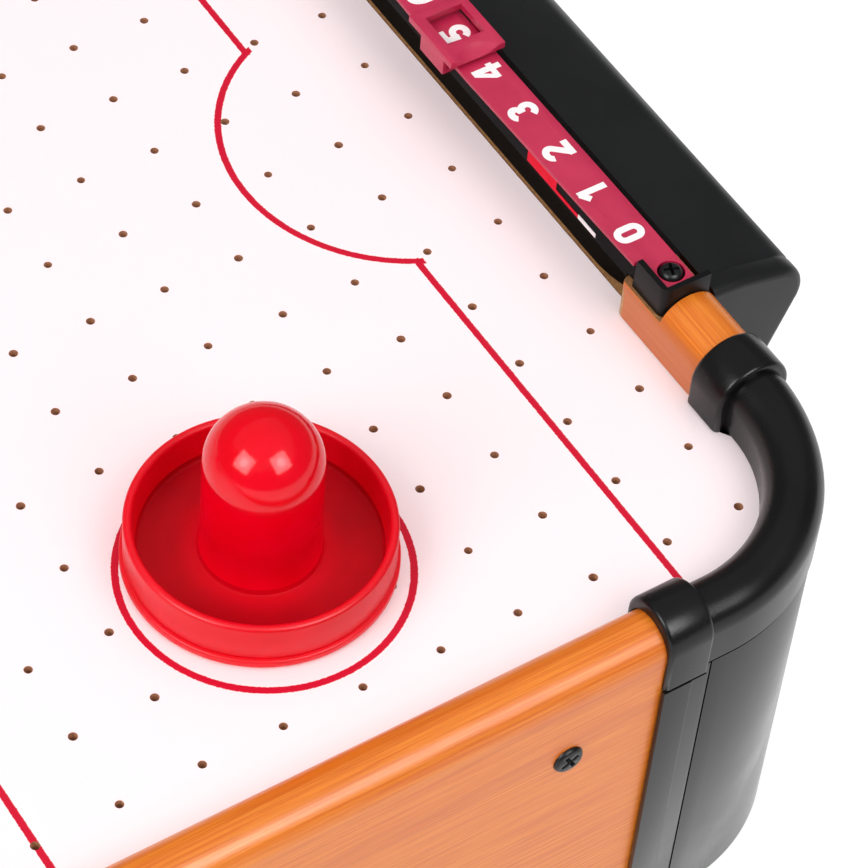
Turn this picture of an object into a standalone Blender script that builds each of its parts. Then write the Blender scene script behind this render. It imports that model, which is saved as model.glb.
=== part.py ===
"""Tabletop air hockey table: a wooden frame with black plastic corners, a white playing board
over an air chest with a fan, two goals with sliding score counters, two mallets and a puck.

Every length below is in millimetres and is written to the meshes in metres. The origin is on
the surface the table stands on, under its middle: X runs along the table, Y across it, Z up.
"""
import math

import bmesh
import bpy
from mathutils import Matrix, Vector

MM = 0.001
GAP = 0.3  # clearance left between neighbouring pieces

# Playing board and frame
FIELD_Z = 90.7  # height of the playing surface
HALF_X = 214.8  # inner faces of the end rails
HALF_Y = 140.4  # inner faces of the side rails
SIDE_T = 12.6
END_T = 15.0
SIDE_OUT = HALF_Y + SIDE_T
END_OUT = HALF_X + END_T
SIDE_ARCH_Z = FIELD_Z + 4.7  # centre of the half round along a rail's top
END_ARCH_Z = FIELD_Z + 7.2
RAIL_BOTTOM = FIELD_Z - 72.0
BOARD_T = 3.0
GROOVE = 3.4  # how far both boards reach into the rails
BASE_TOP = FIELD_Z - 40.0  # top of the board that closes the air chest

# Corners: a quarter ring in plan, with a collar over each rail end
CORNER_X = 186.6
CORNER_Y = 111.0
RING_IN = 29.35
RING_HALF = (6.15, 6.7)  # half width at the side rail and at the end rail
CAP_WALL = 1.8
COLLAR = 1.4  # how far a collar stands proud of the rail
COLLAR_ARCH_Z = FIELD_Z + 6.5  # centre of the side collar's arch
SIDE_COLLAR = (169.4, 180.0)  # along X
END_COLLAR = (97.7, 108.1)  # along Y
SOCKET = 2.0  # how far a rail end stops short of its collar's far side
CAP_BOTTOM = FIELD_Z - 4.2
LEG_TOP = CAP_BOTTOM - GAP
LEG_BOTTOM = 0.6
LEG_R = 41.4
LEG_WALL = 2.2
LEG_CHANNEL = 1.5  # inner wall of the channel that holds a rail end, with its gap
FOOT_FLOOR = (3.0, 5.2)
FOOT_R = 7.0
FOOT_X, FOOT_Y = 203.0, 127.0

# Goals
MOUTH = 69.7  # half width of the goal mouth
MOUTH_SILL = FIELD_Z - 10.0
NOTCH_END = 83.7  # the rail top is cut flat out to here
NOTCH_Z = FIELD_Z + 9.9
BOX_HALF = 83.0  # half width of the goal box
BOX_WALL = 2.2
WINDOW_HALF = 32.0  # puck return window in the goal box
WINDOW_Z = (FIELD_Z - 55.0, FIELD_Z - 39.0)
SHOULDER = (246.9, FIELD_Z - 1.2)  # centre of the goal box's round shoulder, (x, z)
SHOULDER_R = 8.2

# Score counter: bracket over the mouth, numbered strip and slider
CRADLE_Y = (72.6, 83.4)
CRADLE_X = (216.0, 227.6)
CRADLE_Z = (NOTCH_Z + GAP, FIELD_Z + 18.2)
CRADLE_LIP = 1.3
BEAM_X = (216.8, 222.6)
BEAM_Z = (FIELD_Z + 10.6, FIELD_Z + 15.6)
BEAM_DROP = FIELD_Z + 9.4  # lower edge of the beam inside the goal mouth
STRIP_X = (214.4, 224.8)
STRIP_TUCK = 217.7  # inner edge of the strip's narrower ends
STRIP_Z = (FIELD_Z + 15.9, FIELD_Z + 17.1)
SCORE_PITCH = 13.5
SCORE_MIDDLE = 2.6  # Y of the number 5
SLIDER_X = (212.0, 226.0)
SLIDER_Z = (FIELD_Z + 18.5, FIELD_Z + 20.2)
SLIDER_FOOT = FIELD_Z + 14.4  # lowest point of the clips
SLIDER_Y = (-9.9, 7.0)  # about the middle of the window
SKIRT_Y = (-7.0, 2.0)
SKIRT_T = 1.1
SLIDER_WINDOW_X = (214.7, 224.0)
SLIDER_WINDOW_HALF = 4.75

# Screws
STRIP_SCREW_Y = 78.0
STRIP_SCREW_X = 221.2
STRIP_HEAD_R = 2.65
RAIL_SCREW_X = 148.2
RAIL_SCREW_Z = FIELD_Z - 13.0
RAIL_HEAD_R = 3.4
RAIL_HEAD_T = 1.3

# Air chest
BATTEN_W = 7.0
FAN_HALF = 40.0
FAN_H = 25.0
FAN_BORE = 37.5
FAN_HUB = 14.0
IMPELLER_R = 35.0
CUP_R = 16.0
BLADES = 7
MOTOR_R = 12.0
GRILLE_T = 1.8
CELL_R = 7.1
CELL_LENGTH = 49.5
CELL_PITCH = 15.2
BATTERY_X = -125.0
BATTERY_HALF = (31.0, 33.0)
BATTERY_H = 19.0
BATTERY_WALL = 2.0
SWITCH_X = -95.0
SWITCH_Z = FIELD_Z - 57.0
SWITCH_HALF = (9.0, 6.0)  # cut-out in the rail
SWITCH_DEPTH = 8.0
ROCKER_TILT = 8.0  # degrees either way

# Loose pieces
MALLET_AT = (116.1, -88.5)
MALLET_R = 27.3
MALLET_FOOT_R = 28.0
MALLET_TOP = 41.4
MALLET_KNOB_R = 12.1
FELT_T = 1.2
PUCK_AT = (-60.0, 0.0)
PUCK_R = 25.0
PUCK_T = 4.0

HERE = Matrix.Identity(4)
TURNED = Matrix.Rotation(math.pi, 4, "Z")

COLOURS = {  # name: (linear colour, roughness, metallic)
    "laminate": ((0.93, 0.90, 0.92), 0.25, 0.0),
    "orange_wood": ((0.80, 0.25, 0.05), 0.35, 0.0),
    "plain_wood": ((0.55, 0.36, 0.18), 0.7, 0.0),
    "black_plastic": ((0.013, 0.013, 0.014), 0.35, 0.0),
    "red_plastic": ((0.77, 0.004, 0.012), 0.12, 0.0),
    "crimson_plastic": ((0.55, 0.03, 0.09), 0.35, 0.0),
    "grey_felt": ((0.35, 0.34, 0.33), 0.95, 0.0),
    "black_rubber": ((0.02, 0.02, 0.02), 0.8, 0.0),
    "black_steel": ((0.03, 0.03, 0.03), 0.4, 0.9),
    "steel": ((0.6, 0.6, 0.6), 0.3, 1.0),
}


# ---------------------------------------------------------------- shapes

def prism(outline, axis, low, high):
    """A flat outline pushed along an axis. Its points are the two other coordinates in order."""
    def place(point, along):
        u, v = point
        return {"X": (along, u, v), "Y": (u, along, v), "Z": (u, v, along)}[axis]

    bm = bmesh.new()
    start = [bm.verts.new(place(p, low)) for p in outline]
    end = [bm.verts.new(place(p, high)) for p in outline]
    bm.faces.new(start)
    bm.faces.new(end)
    for i in range(len(outline)):
        j = (i + 1) % len(outline)
        bm.faces.new((start[i], start[j], end[j], end[i]))
    return bm


def block(x, y, z):
    """A box between the given pairs of limits."""
    corners = [(x[0], y[0]), (x[1], y[0]), (x[1], y[1]), (x[0], y[1])]
    return prism(corners, "Z", z[0], z[1])


def pierced(outline, holes, low, high):
    """A plate in the XY plane with holes through it."""
    bm = bmesh.new()
    for loop in [outline] + holes:
        verts = [bm.verts.new((x, y, low)) for x, y in loop]
        for i in range(len(verts)):
            bm.edges.new((verts[i - 1], verts[i]))
    bmesh.ops.triangle_fill(bm, edges=bm.edges[:], use_beauty=True)
    grown = bmesh.ops.extrude_face_region(bm, geom=bm.faces[:])
    moved = [item for item in grown["geom"] if isinstance(item, bmesh.types.BMVert)]
    bmesh.ops.translate(bm, verts=moved, vec=(0, 0, high - low))
    return bm


def lathe(profile, centre, segments):
    """A profile of (radius, z) points, from axis to axis, turned about a vertical line."""
    bm = bmesh.new()
    rings = []
    for radius, z in profile:
        count = 1 if radius == 0 else segments
        ring = []
        for i in range(count):
            angle = math.tau * i / segments
            x = centre[0] + radius * math.cos(angle)
            y = centre[1] + radius * math.sin(angle)
            ring.append(bm.verts.new((x, y, z)))
        rings.append(ring)
    for lower, upper in zip(rings, rings[1:]):
        for i in range(segments):
            j = (i + 1) % segments
            if len(lower) == 1:
                bm.faces.new((lower[0], upper[j], upper[i]))
            elif len(upper) == 1:
                bm.faces.new((lower[i], lower[j], upper[0]))
            else:
                bm.faces.new((lower[i], lower[j], upper[j], upper[i]))
    return bm


def hollow_lathe(section, segments):
    """A closed section of (radius, z) points turned about the Z axis."""
    bm = bmesh.new()
    loops = []
    for i in range(segments):
        angle = math.tau * i / segments
        across = (math.cos(angle), math.sin(angle))
        loops.append([bm.verts.new((r * across[0], r * across[1], z)) for r, z in section])
    for a, b in zip(loops, loops[1:] + loops[:1]):
        for k in range(len(section)):
            bm.faces.new((a[k - 1], a[k], b[k], b[k - 1]))
    return bm


def arc(centre, radius, start, stop, steps):
    """Points along an arc, ends included, with angles in degrees."""
    points = []
    for i in range(steps + 1):
        angle = math.radians(start + (stop - start) * i / steps)
        points.append((centre[0] + radius * math.cos(angle), centre[1] + radius * math.sin(angle)))
    return points


def circle(centre, radius, segments):
    return arc(centre, radius, 0, 360, segments)[:-1]


# ---------------------------------------------------------------- objects

def material(name):
    """The Principled material of that name, made the first time it is asked for."""
    if name not in bpy.data.materials:
        colour, roughness, metallic = COLOURS[name]
        made = bpy.data.materials.new(name)
        made.use_nodes = True
        shader = made.node_tree.nodes["Principled BSDF"]
        shader.inputs["Base Color"].default_value = (*colour, 1.0)
        shader.inputs["Roughness"].default_value = roughness
        shader.inputs["Metallic"].default_value = metallic
    return bpy.data.materials[name]


def add(name, bm, colour=None, place=HERE, origin=(0, 0, 0)):
    """Write a shape as an object. Without a colour it is a tool for a Boolean."""
    bm.transform(place)
    centre = place @ Vector(origin)
    bmesh.ops.translate(bm, verts=bm.verts[:], vec=-centre)
    bmesh.ops.scale(bm, verts=bm.verts[:], vec=(MM, MM, MM))
    bmesh.ops.recalc_face_normals(bm, faces=bm.faces[:])
    mesh = bpy.data.meshes.new(name)
    bm.to_mesh(mesh)
    bm.free()
    thing = bpy.data.objects.new(name, mesh)
    thing.location = centre * MM
    bpy.context.scene.collection.objects.link(thing)
    if colour is None:
        thing.hide_render = True
        thing.display_type = "WIRE"
    else:
        mesh.materials.append(material(colour))
        mesh.shade_smooth()
        mesh.set_sharp_from_angle(angle=math.radians(30))
    return thing


def combine(target, operation, bm, place=HERE):
    """Cut a shape out of an object, or join it on."""
    tool = add(target.name + "_tool", bm, place=place)
    boolean = target.modifiers.new(operation.title(), "BOOLEAN")
    boolean.operation = operation
    boolean.object = tool
    boolean.solver = "EXACT"


# ---------------------------------------------------------------- frame

def rail_section(inner, thick, arch_z):
    """Rail cross-section: half-round top, grooves for the playing board and the base board."""
    radius = thick / 2
    deep = inner + GROOVE + GAP
    points = [(inner + thick, RAIL_BOTTOM)]
    points += arc((inner + radius, arch_z), radius, 0, 180, 12)
    for top in (FIELD_Z, BASE_TOP):
        high = top + GAP
        low = top - BOARD_T - GAP
        points += [(inner, high), (deep, high), (deep, low), (inner, low)]
    points.append((inner, RAIL_BOTTOM))
    return points


def side_rail(name, side):
    reach = SIDE_COLLAR[1] - SOCKET - GAP
    section = [(side * y, z) for y, z in rail_section(HALF_Y, SIDE_T, SIDE_ARCH_Z)]
    rail = add(name, prism(section, "X", -reach, reach), "orange_wood")
    for x in (-RAIL_SCREW_X, RAIL_SCREW_X):
        hole = circle((x, RAIL_SCREW_Z), 1.9, 8)
        combine(rail, "DIFFERENCE", prism(hole, "Y", side * 135.0, side * 160.0))
    return rail


def end_rail(name, place):
    """End rail with the goal mouth, the flat seats for the bracket and its screw holes."""
    reach = END_COLLAR[1] - SOCKET - GAP
    section = rail_section(HALF_X, END_T, END_ARCH_Z)
    rail = add(name, prism(section, "Y", -reach, reach), "orange_wood", place)
    through = (HALF_X - 5, END_OUT + 5)
    above = END_ARCH_Z + 20
    mouth = block(through, (-MOUTH, MOUTH), (MOUTH_SILL, above))
    combine(rail, "DIFFERENCE", mouth, place)
    for side in (-1, 1):
        seat = block(through, sorted((side * (MOUTH - 1), side * NOTCH_END)), (NOTCH_Z, above))
        combine(rail, "DIFFERENCE", seat, place)
        hole = circle((STRIP_SCREW_X, side * STRIP_SCREW_Y), 1.6, 8)
        combine(rail, "DIFFERENCE", prism(hole, "Z", FIELD_Z + 1.0, above), place)


def playfield_board():
    """White board whose corners are rounded to lie under the corner caps."""
    x_edge = HALF_X + GROOVE
    y_edge = HALF_Y + GROOVE
    radius = 39.0
    x_start = math.degrees(math.asin((y_edge - CORNER_Y) / radius))
    y_start = math.degrees(math.acos((x_edge - CORNER_X) / radius))
    outline = []
    for quarter, (sx, sy) in enumerate(((1, 1), (-1, 1), (-1, -1), (1, -1))):
        corner = arc((CORNER_X, CORNER_Y), radius, y_start, x_start, 5)
        corner = [(sx * x, sy * y) for x, y in corner]
        outline += corner if quarter % 2 == 0 else corner[::-1]
    add("playfield_board", prism(outline, "Z", FIELD_Z - BOARD_T, FIELD_Z), "laminate")


def base_outline():
    """The base board fits the rail grooves and steps in past the corner legs' channels."""
    x_edge = HALF_X + GROOVE
    y_edge = HALF_Y + GROOVE
    x_step = HALF_X - LEG_CHANNEL - GAP
    y_step = HALF_Y - LEG_CHANNEL - GAP
    quarter = [
        (x_edge, END_COLLAR[0] - GAP),
        (x_step, END_COLLAR[0] - GAP),
        (x_step, y_step),
        (SIDE_COLLAR[0] - GAP, y_step),
        (SIDE_COLLAR[0] - GAP, y_edge),
    ]
    outline = []
    for count, (sx, sy) in enumerate(((1, 1), (-1, 1), (-1, -1), (1, -1))):
        corner = [(sx * x, sy * y) for x, y in quarter]
        outline += corner if count % 2 == 0 else corner[::-1]
    return outline


def base_board():
    intake = circle((0, 0), FAN_BORE, 24)
    board = pierced(base_outline(), [intake], BASE_TOP - BOARD_T, BASE_TOP)
    add("base_board", board, "plain_wood")


def batten(name, x):
    """Cross batten under the playing board, cut away below so that air passes."""
    reach = HALF_Y - 2 * GAP
    high = FIELD_Z - BOARD_T - GAP
    low = BASE_TOP + GAP
    slot_top = low + 18.0
    outline = [(-reach, low), (-reach, high), (reach, high), (reach, low)]
    for start in (75.0, -5.0, -85.0):
        outline += [(start + 35, low), (start + 35, slot_top), (start, slot_top), (start, low)]
    half = BATTEN_W / 2
    bar = add(name, prism(outline, "X", x - half, x + half), "plain_wood")
    for side in (-1, 1):
        hole = circle((x, RAIL_SCREW_Z), 1.9, 8)
        ends = sorted((side * (reach - 12), side * (reach + 5)))
        combine(bar, "DIFFERENCE", prism(hole, "Y", ends[0], ends[1]))


# ---------------------------------------------------------------- corners

def cap_section(half, arch_z):
    """Arch over the rail line: (sideways, z) points from the outer foot to the inner foot."""
    return [(half, CAP_BOTTOM)] + arc((0, arch_z), half, 0, 180, 8) + [(-half, FIELD_Z + GAP)]


def cap_path(inset, collar_halves, step):
    """Stations of the cap from side rail to end rail: (x, y, outward, half width, arch z)."""
    side_y = HALF_Y + SIDE_T / 2
    end_x = HALF_X + END_T / 2
    side_half, end_half = collar_halves
    stations = []
    for x in (SIDE_COLLAR[0], SIDE_COLLAR[1] - step):
        stations.append((x, side_y, (0, 1), side_half, COLLAR_ARCH_Z))
    ring = []
    for degrees in range(90, -1, -10):
        turn = 1 - degrees / 90
        half = RING_HALF[0] + (RING_HALF[1] - RING_HALF[0]) * turn ** 4
        arch_z = SIDE_ARCH_Z + (END_ARCH_Z - SIDE_ARCH_Z) * turn
        out = (math.cos(math.radians(degrees)), math.sin(math.radians(degrees)))
        reach = RING_IN + half
        ring.append((CORNER_X + reach * out[0], CORNER_Y + reach * out[1], out,
                     half - inset, arch_z))
    stations.append((SIDE_COLLAR[1] - step, *ring[0][1:]))
    stations += ring
    stations.append((ring[-1][0], END_COLLAR[1] - step, *ring[-1][2:]))
    for y in (END_COLLAR[1] - step, END_COLLAR[0]):
        stations.append((end_x, y, (1, 0), end_half, END_ARCH_Z))
    return stations


def corner_cap(name, place):
    """Hollow quarter ring with a collar at each end, open underneath."""
    outer = cap_path(0, (SIDE_T / 2 + COLLAR, END_T / 2 + COLLAR), 0)
    inner = cap_path(CAP_WALL, (SIDE_T / 2 + GAP, END_T / 2 + GAP), SOCKET)
    last = len(outer) - 1
    bm = bmesh.new()
    rows = []
    for path in (outer, inner):
        skin = []
        for x, y, out, half, arch_z in path:
            section = cap_section(half, arch_z)
            skin.append([bm.verts.new((x + out[0] * w, y + out[1] * w, z)) for w, z in section])
        rows.append(skin)
    outside, inside = rows
    points = len(outside[0])
    for skin in rows:
        for a, b in zip(skin, skin[1:]):
            for k in range(points - 1):
                bm.faces.new((a[k], b[k], b[k + 1], a[k + 1]))
    for i in range(last):
        for k in (0, points - 1):
            bm.faces.new((outside[i][k], outside[i + 1][k], inside[i + 1][k], inside[i][k]))
    for i in (0, last):
        for k in range(points - 1):
            bm.faces.new((outside[i][k], outside[i][k + 1], inside[i][k + 1], inside[i][k]))
    add(name, bm, "black_plastic", place)


def leg_outline():
    """Plan of a leg: curved shell with a channel round the end of each rail."""
    step_x = SIDE_COLLAR[1] - SOCKET
    step_y = END_COLLAR[1] - SOCKET
    centre = (CORNER_X, CORNER_Y)
    points = [
        (SIDE_COLLAR[0], SIDE_OUT + COLLAR),
        (SIDE_COLLAR[1], SIDE_OUT + COLLAR),
        (SIDE_COLLAR[1], CORNER_Y + LEG_R),
    ]
    points += arc(centre, LEG_R, 90, 0, 12)
    points += [
        (CORNER_X + LEG_R, END_COLLAR[1]),
        (END_OUT + COLLAR, END_COLLAR[1]),
        (END_OUT + COLLAR, END_COLLAR[0]),
        (END_OUT + GAP, END_COLLAR[0]),
        (END_OUT + GAP, step_y),
        (HALF_X - GAP, step_y),
        (HALF_X - GAP, END_COLLAR[0]),
        (HALF_X - LEG_CHANNEL, END_COLLAR[0]),
        (HALF_X - LEG_CHANNEL, step_y + LEG_WALL),
        (CORNER_X + LEG_R - LEG_WALL, step_y + LEG_WALL),
    ]
    points += arc(centre, LEG_R - LEG_WALL, 0, 90, 12)
    points += [
        (step_x + LEG_WALL, CORNER_Y + LEG_R - LEG_WALL),
        (step_x + LEG_WALL, HALF_Y - LEG_CHANNEL),
        (SIDE_COLLAR[0], HALF_Y - LEG_CHANNEL),
        (SIDE_COLLAR[0], HALF_Y - GAP),
        (step_x, HALF_Y - GAP),
        (step_x, SIDE_OUT + GAP),
        (SIDE_COLLAR[0], SIDE_OUT + GAP),
    ]
    return points


def corner_leg(name, place):
    leg = add(name, prism(leg_outline(), "Z", LEG_BOTTOM, LEG_TOP), "black_plastic", place)
    side = SIDE_COLLAR[1] - SOCKET + LEG_WALL / 2
    end = END_COLLAR[1] - SOCKET + LEG_WALL / 2
    radius = LEG_R - LEG_WALL / 2
    floor = arc((CORNER_X, CORNER_Y), radius, 90, 0, 12)
    floor += [(CORNER_X + radius, end), (side, end), (side, CORNER_Y + radius)]
    combine(leg, "UNION", prism(floor, "Z", FOOT_FLOOR[0], FOOT_FLOOR[1]), place)


def foot_pad(name, place):
    top = FOOT_FLOOR[0] - GAP
    profile = [(0, 0), (FOOT_R - 0.6, 0), (FOOT_R, 0.6), (FOOT_R, top), (0, top)]
    add(name, lathe(profile, (FOOT_X, FOOT_Y), 16), "black_rubber", place)


# ---------------------------------------------------------------- goals

def box_section(wall):
    """Goal box cross-section in (x, z): flat top, round shoulder, face tapering to the rail."""
    back = END_OUT + GAP
    top = FIELD_Z + 10.4 - wall
    shoulder = arc(SHOULDER, SHOULDER_R - wall, 75, -25, 6)
    slope = [(239.8 - wall, FIELD_Z - 42.0 + wall / 2), (232.8 - wall / 2, FIELD_Z - 59.0 + wall)]
    return [(back, top), (238.0, top - 0.9)] + shoulder + slope + [(back, FIELD_Z - 61.0 + 2 * wall)]


def goal_box(name, place):
    shell = prism(box_section(0), "Y", -BOX_HALF, BOX_HALF)
    box = add(name, shell, "black_plastic", place)
    hollow = box_section(BOX_WALL)
    hollow[0] = (END_OUT - 5, hollow[0][1])
    hollow[-1] = (END_OUT - 5, hollow[-1][1])
    inside = BOX_HALF - BOX_WALL
    combine(box, "DIFFERENCE", prism(hollow, "Y", -inside, inside), place)
    window = block((END_OUT + 1.3, 265.0), (-WINDOW_HALF, WINDOW_HALF), WINDOW_Z)
    combine(box, "DIFFERENCE", window, place)


def score_bracket(name, place):
    """Beam over the goal mouth with a cradle for the strip at each end, open to the outside."""
    end = CRADLE_Y[0] + 1
    step = MOUTH - GAP
    beam = [(-end, BEAM_Z[1]), (-end, BEAM_Z[0]), (-step, BEAM_Z[0]), (-step, BEAM_DROP),
            (step, BEAM_DROP), (step, BEAM_Z[0]), (end, BEAM_Z[0]), (end, BEAM_Z[1])]
    bracket = add(name, prism(beam, "X", *BEAM_X), "black_plastic", place)
    lip = CRADLE_X[0] + CRADLE_LIP
    outside = CRADLE_X[1] + 1
    above = CRADLE_Z[1] + 1
    recess = [(lip, BEAM_Z[1]), (STRIP_X[1], BEAM_Z[1]), (STRIP_X[1], CRADLE_Z[0] - 1),
              (outside, CRADLE_Z[0] - 1), (outside, above), (lip, above)]
    for side in (-1, 1):
        y = sorted((side * CRADLE_Y[0], side * CRADLE_Y[1]))
        combine(bracket, "UNION", block(CRADLE_X, y, CRADLE_Z), place)
    for side in (-1, 1):
        y = sorted((side * (CRADLE_Y[0] - 5), side * (CRADLE_Y[1] - CRADLE_LIP)))
        combine(bracket, "DIFFERENCE", prism(recess, "Y", *y), place)
        hole = circle((STRIP_SCREW_X, side * STRIP_SCREW_Y), 1.6, 8)
        combine(bracket, "DIFFERENCE", prism(hole, "Z", FIELD_Z, FIELD_Z + 30), place)


def score_strip(name, place):
    """Numbered strip, narrower where it lies in the cradles."""
    end = CRADLE_Y[1] - CRADLE_LIP - GAP
    step = CRADLE_Y[0] - GAP
    outline = [
        (STRIP_X[1], -end),
        (STRIP_X[1], end),
        (STRIP_TUCK, end),
        (STRIP_TUCK, step),
        (STRIP_X[0], step),
        (STRIP_X[0], -step),
        (STRIP_TUCK, -step),
        (STRIP_TUCK, -end),
    ]
    holes = [circle((STRIP_SCREW_X, s * STRIP_SCREW_Y), STRIP_HEAD_R + GAP, 16) for s in (-1, 1)]
    add(name, pierced(outline, holes, *STRIP_Z), "crimson_plastic", place)


def score_slider(name, place):
    """Clip with a window, hooked under both edges of the strip."""
    middle = SCORE_MIDDLE
    origin = ((SLIDER_X[0] + SLIDER_X[1]) / 2, middle, STRIP_Z[1])
    plate = block(SLIDER_X, (middle + SLIDER_Y[0], middle + SLIDER_Y[1]), SLIDER_Z)
    slider = add(name, plate, "crimson_plastic", place, origin)
    skirt = (middle + SKIRT_Y[0], middle + SKIRT_Y[1])
    hook_z = (SLIDER_FOOT, STRIP_Z[0] - GAP)
    tall = (SLIDER_FOOT, SLIDER_Z[0] + 0.5)
    inner, outer = SLIDER_X
    for x, z in (((inner, inner + SKIRT_T), tall),
                 ((inner, BEAM_X[0] - 2 * GAP), hook_z),
                 ((outer - 0.9, outer), tall),
                 ((BEAM_X[1] + 2 * GAP, outer), hook_z)):
        combine(slider, "UNION", block(x, skirt, z), place)
    half = SLIDER_WINDOW_HALF
    window = block(SLIDER_WINDOW_X, (middle - half, middle + half),
                   (SLIDER_Z[0] - 0.4, SLIDER_Z[1] + 1))
    combine(slider, "DIFFERENCE", window, place)


def strip_screw(name, side, place):
    """Pan-head screw down through strip and bracket into the end rail."""
    floor = BEAM_Z[1] + GAP
    profile = [(0, FIELD_Z + 2), (1.3, FIELD_Z + 3), (1.3, floor), (STRIP_HEAD_R, floor),
               (STRIP_HEAD_R, floor + 1.0), (1.6, floor + 1.9), (0, floor + 2.0)]
    screw = lathe(profile, (STRIP_SCREW_X, side * STRIP_SCREW_Y), 16)
    add(name, screw, "black_steel", place)


def rail_screw(name, x, side):
    """Pan-head screw through a side rail into the end of a cross batten."""
    face = SIDE_OUT + GAP
    profile = [(0, -22.0), (1.6, -20.5), (1.6, 0), (RAIL_HEAD_R, 0),
               (RAIL_HEAD_R, 0.4), (2.0, RAIL_HEAD_T - 0.1), (0, RAIL_HEAD_T)]
    screw = lathe(profile, (0, 0), 16)
    screw.transform(Matrix.Rotation(-side * math.pi / 2, 4, "X"))
    screw.transform(Matrix.Translation((x, side * face, RAIL_SCREW_Z)))
    add(name, screw, "black_steel")


# ---------------------------------------------------------------- air chest

def fan_housing():
    """Square fan frame with a round bore and a motor plate on four struts."""
    top = BASE_TOP - BOARD_T - GAP
    low = top - FAN_H
    corner = FAN_HALF
    outline = [(-corner, -corner), (corner, -corner), (corner, corner), (-corner, corner)]
    bore = circle((0, 0), FAN_BORE, 24)
    housing = add("fan_housing", pierced(outline, [bore], low, top), "black_plastic")
    reach = FAN_BORE + 1.0
    combine(housing, "UNION", block((-reach, reach), (-2.0, 2.0), (low, low + 2)))
    combine(housing, "UNION", block((-2.0, 2.0), (-reach, reach), (low, low + 2)))
    plate = [(0, low), (FAN_HUB, low), (FAN_HUB, low + 2), (0, low + 2)]
    combine(housing, "UNION", lathe(plate, (0, 0), 20))


def fan_motor():
    low = BASE_TOP - BOARD_T - FAN_H + 2
    profile = [(0, low), (MOTOR_R, low), (MOTOR_R, low + 12), (1.2, low + 12),
               (1.2, low + 18), (0, low + 18)]
    add("fan_motor", lathe(profile, (0, 0), 16), "steel")


def fan_impeller():
    """Cup over the motor, with pitched blades round it."""
    low = BASE_TOP - BOARD_T - FAN_H + 4
    high = low + 14.0
    inside = MOTOR_R + 1.2
    cup = [(1.5, high), (1.5, high - 2.2), (inside, high - 2.2), (inside, low), (CUP_R, low),
           (CUP_R, high)]
    wheel = add("fan_impeller", hollow_lathe(cup, 20), "black_plastic", origin=(0, 0, low))
    for count in range(BLADES):
        blade = block((CUP_R - 1.0, IMPELLER_R), (-5.5, 5.5), (-0.7, 0.7))
        blade.transform(Matrix.Rotation(math.radians(38), 4, "X"))
        turn = Matrix.Rotation(math.tau * count / BLADES, 4, "Z")
        lift = Matrix.Translation((0, 0, (low + high) / 2))
        combine(wheel, "UNION", blade, lift @ turn)


def fan_grille():
    """Slotted guard under the fan."""
    top = BASE_TOP - BOARD_T - 2 * GAP - FAN_H
    corner = FAN_HALF
    outline = [(-corner, -corner), (corner, -corner), (corner, corner), (-corner, corner)]
    slots = []
    for row in range(-4, 5):
        y = row * 7.6
        reach = math.sqrt(FAN_BORE ** 2 - (abs(y) + 2.3) ** 2) - 1.0
        slots.append([(-reach, y - 2.3), (reach, y - 2.3), (reach, y + 2.3), (-reach, y + 2.3)])
    add("fan_grille", pierced(outline, slots, top - GRILLE_T, top), "black_plastic")


def battery_box():
    """Open-bottomed tray for the cells, under the base board."""
    top = BASE_TOP - BOARD_T - GAP
    half_x, half_y = BATTERY_HALF
    x = (BATTERY_X - half_x, BATTERY_X + half_x)
    y = (-half_y, half_y)
    tray = add("battery_box", block(x, y, (top - BATTERY_H, top)), "black_plastic")
    wall = BATTERY_WALL
    inside = block((x[0] + wall, x[1] - wall), (y[0] + wall, y[1] - wall),
                   (top - BATTERY_H - 1, top - wall))
    combine(tray, "DIFFERENCE", inside)
    return x, y, top


def battery_door(x, y, top):
    """Flat lid that slides out along the table."""
    high = top - BATTERY_H - GAP
    z = (high - 2.0, high)
    origin = ((x[0] + x[1]) / 2, 0, high)
    door = add("battery_door", block(x, y, z), "black_plastic", origin=origin)
    ridge = block((x[0] + 3, x[0] + 6), (-12, 12), (z[0] - 1.0, z[0] + 0.5))
    combine(door, "UNION", ridge)


def batteries(top):
    """Four cells side by side, lying along the table."""
    z = top - BATTERY_WALL - GAP - CELL_R
    for count in range(4):
        half = CELL_LENGTH / 2
        profile = [(0, -half), (CELL_R, -half), (CELL_R, half - 1.5), (2.6, half - 1.5),
                   (2.6, half), (0, half)]
        cell = lathe(profile, (0, 0), 12)
        facing = 1 if count % 2 == 0 else -1
        cell.transform(Matrix.Rotation(facing * math.pi / 2, 4, "Y"))
        y = (count - 1.5) * CELL_PITCH
        cell.transform(Matrix.Translation((BATTERY_X, y, z)))
        add(f"battery_{count + 1}", cell, "steel")


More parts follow.
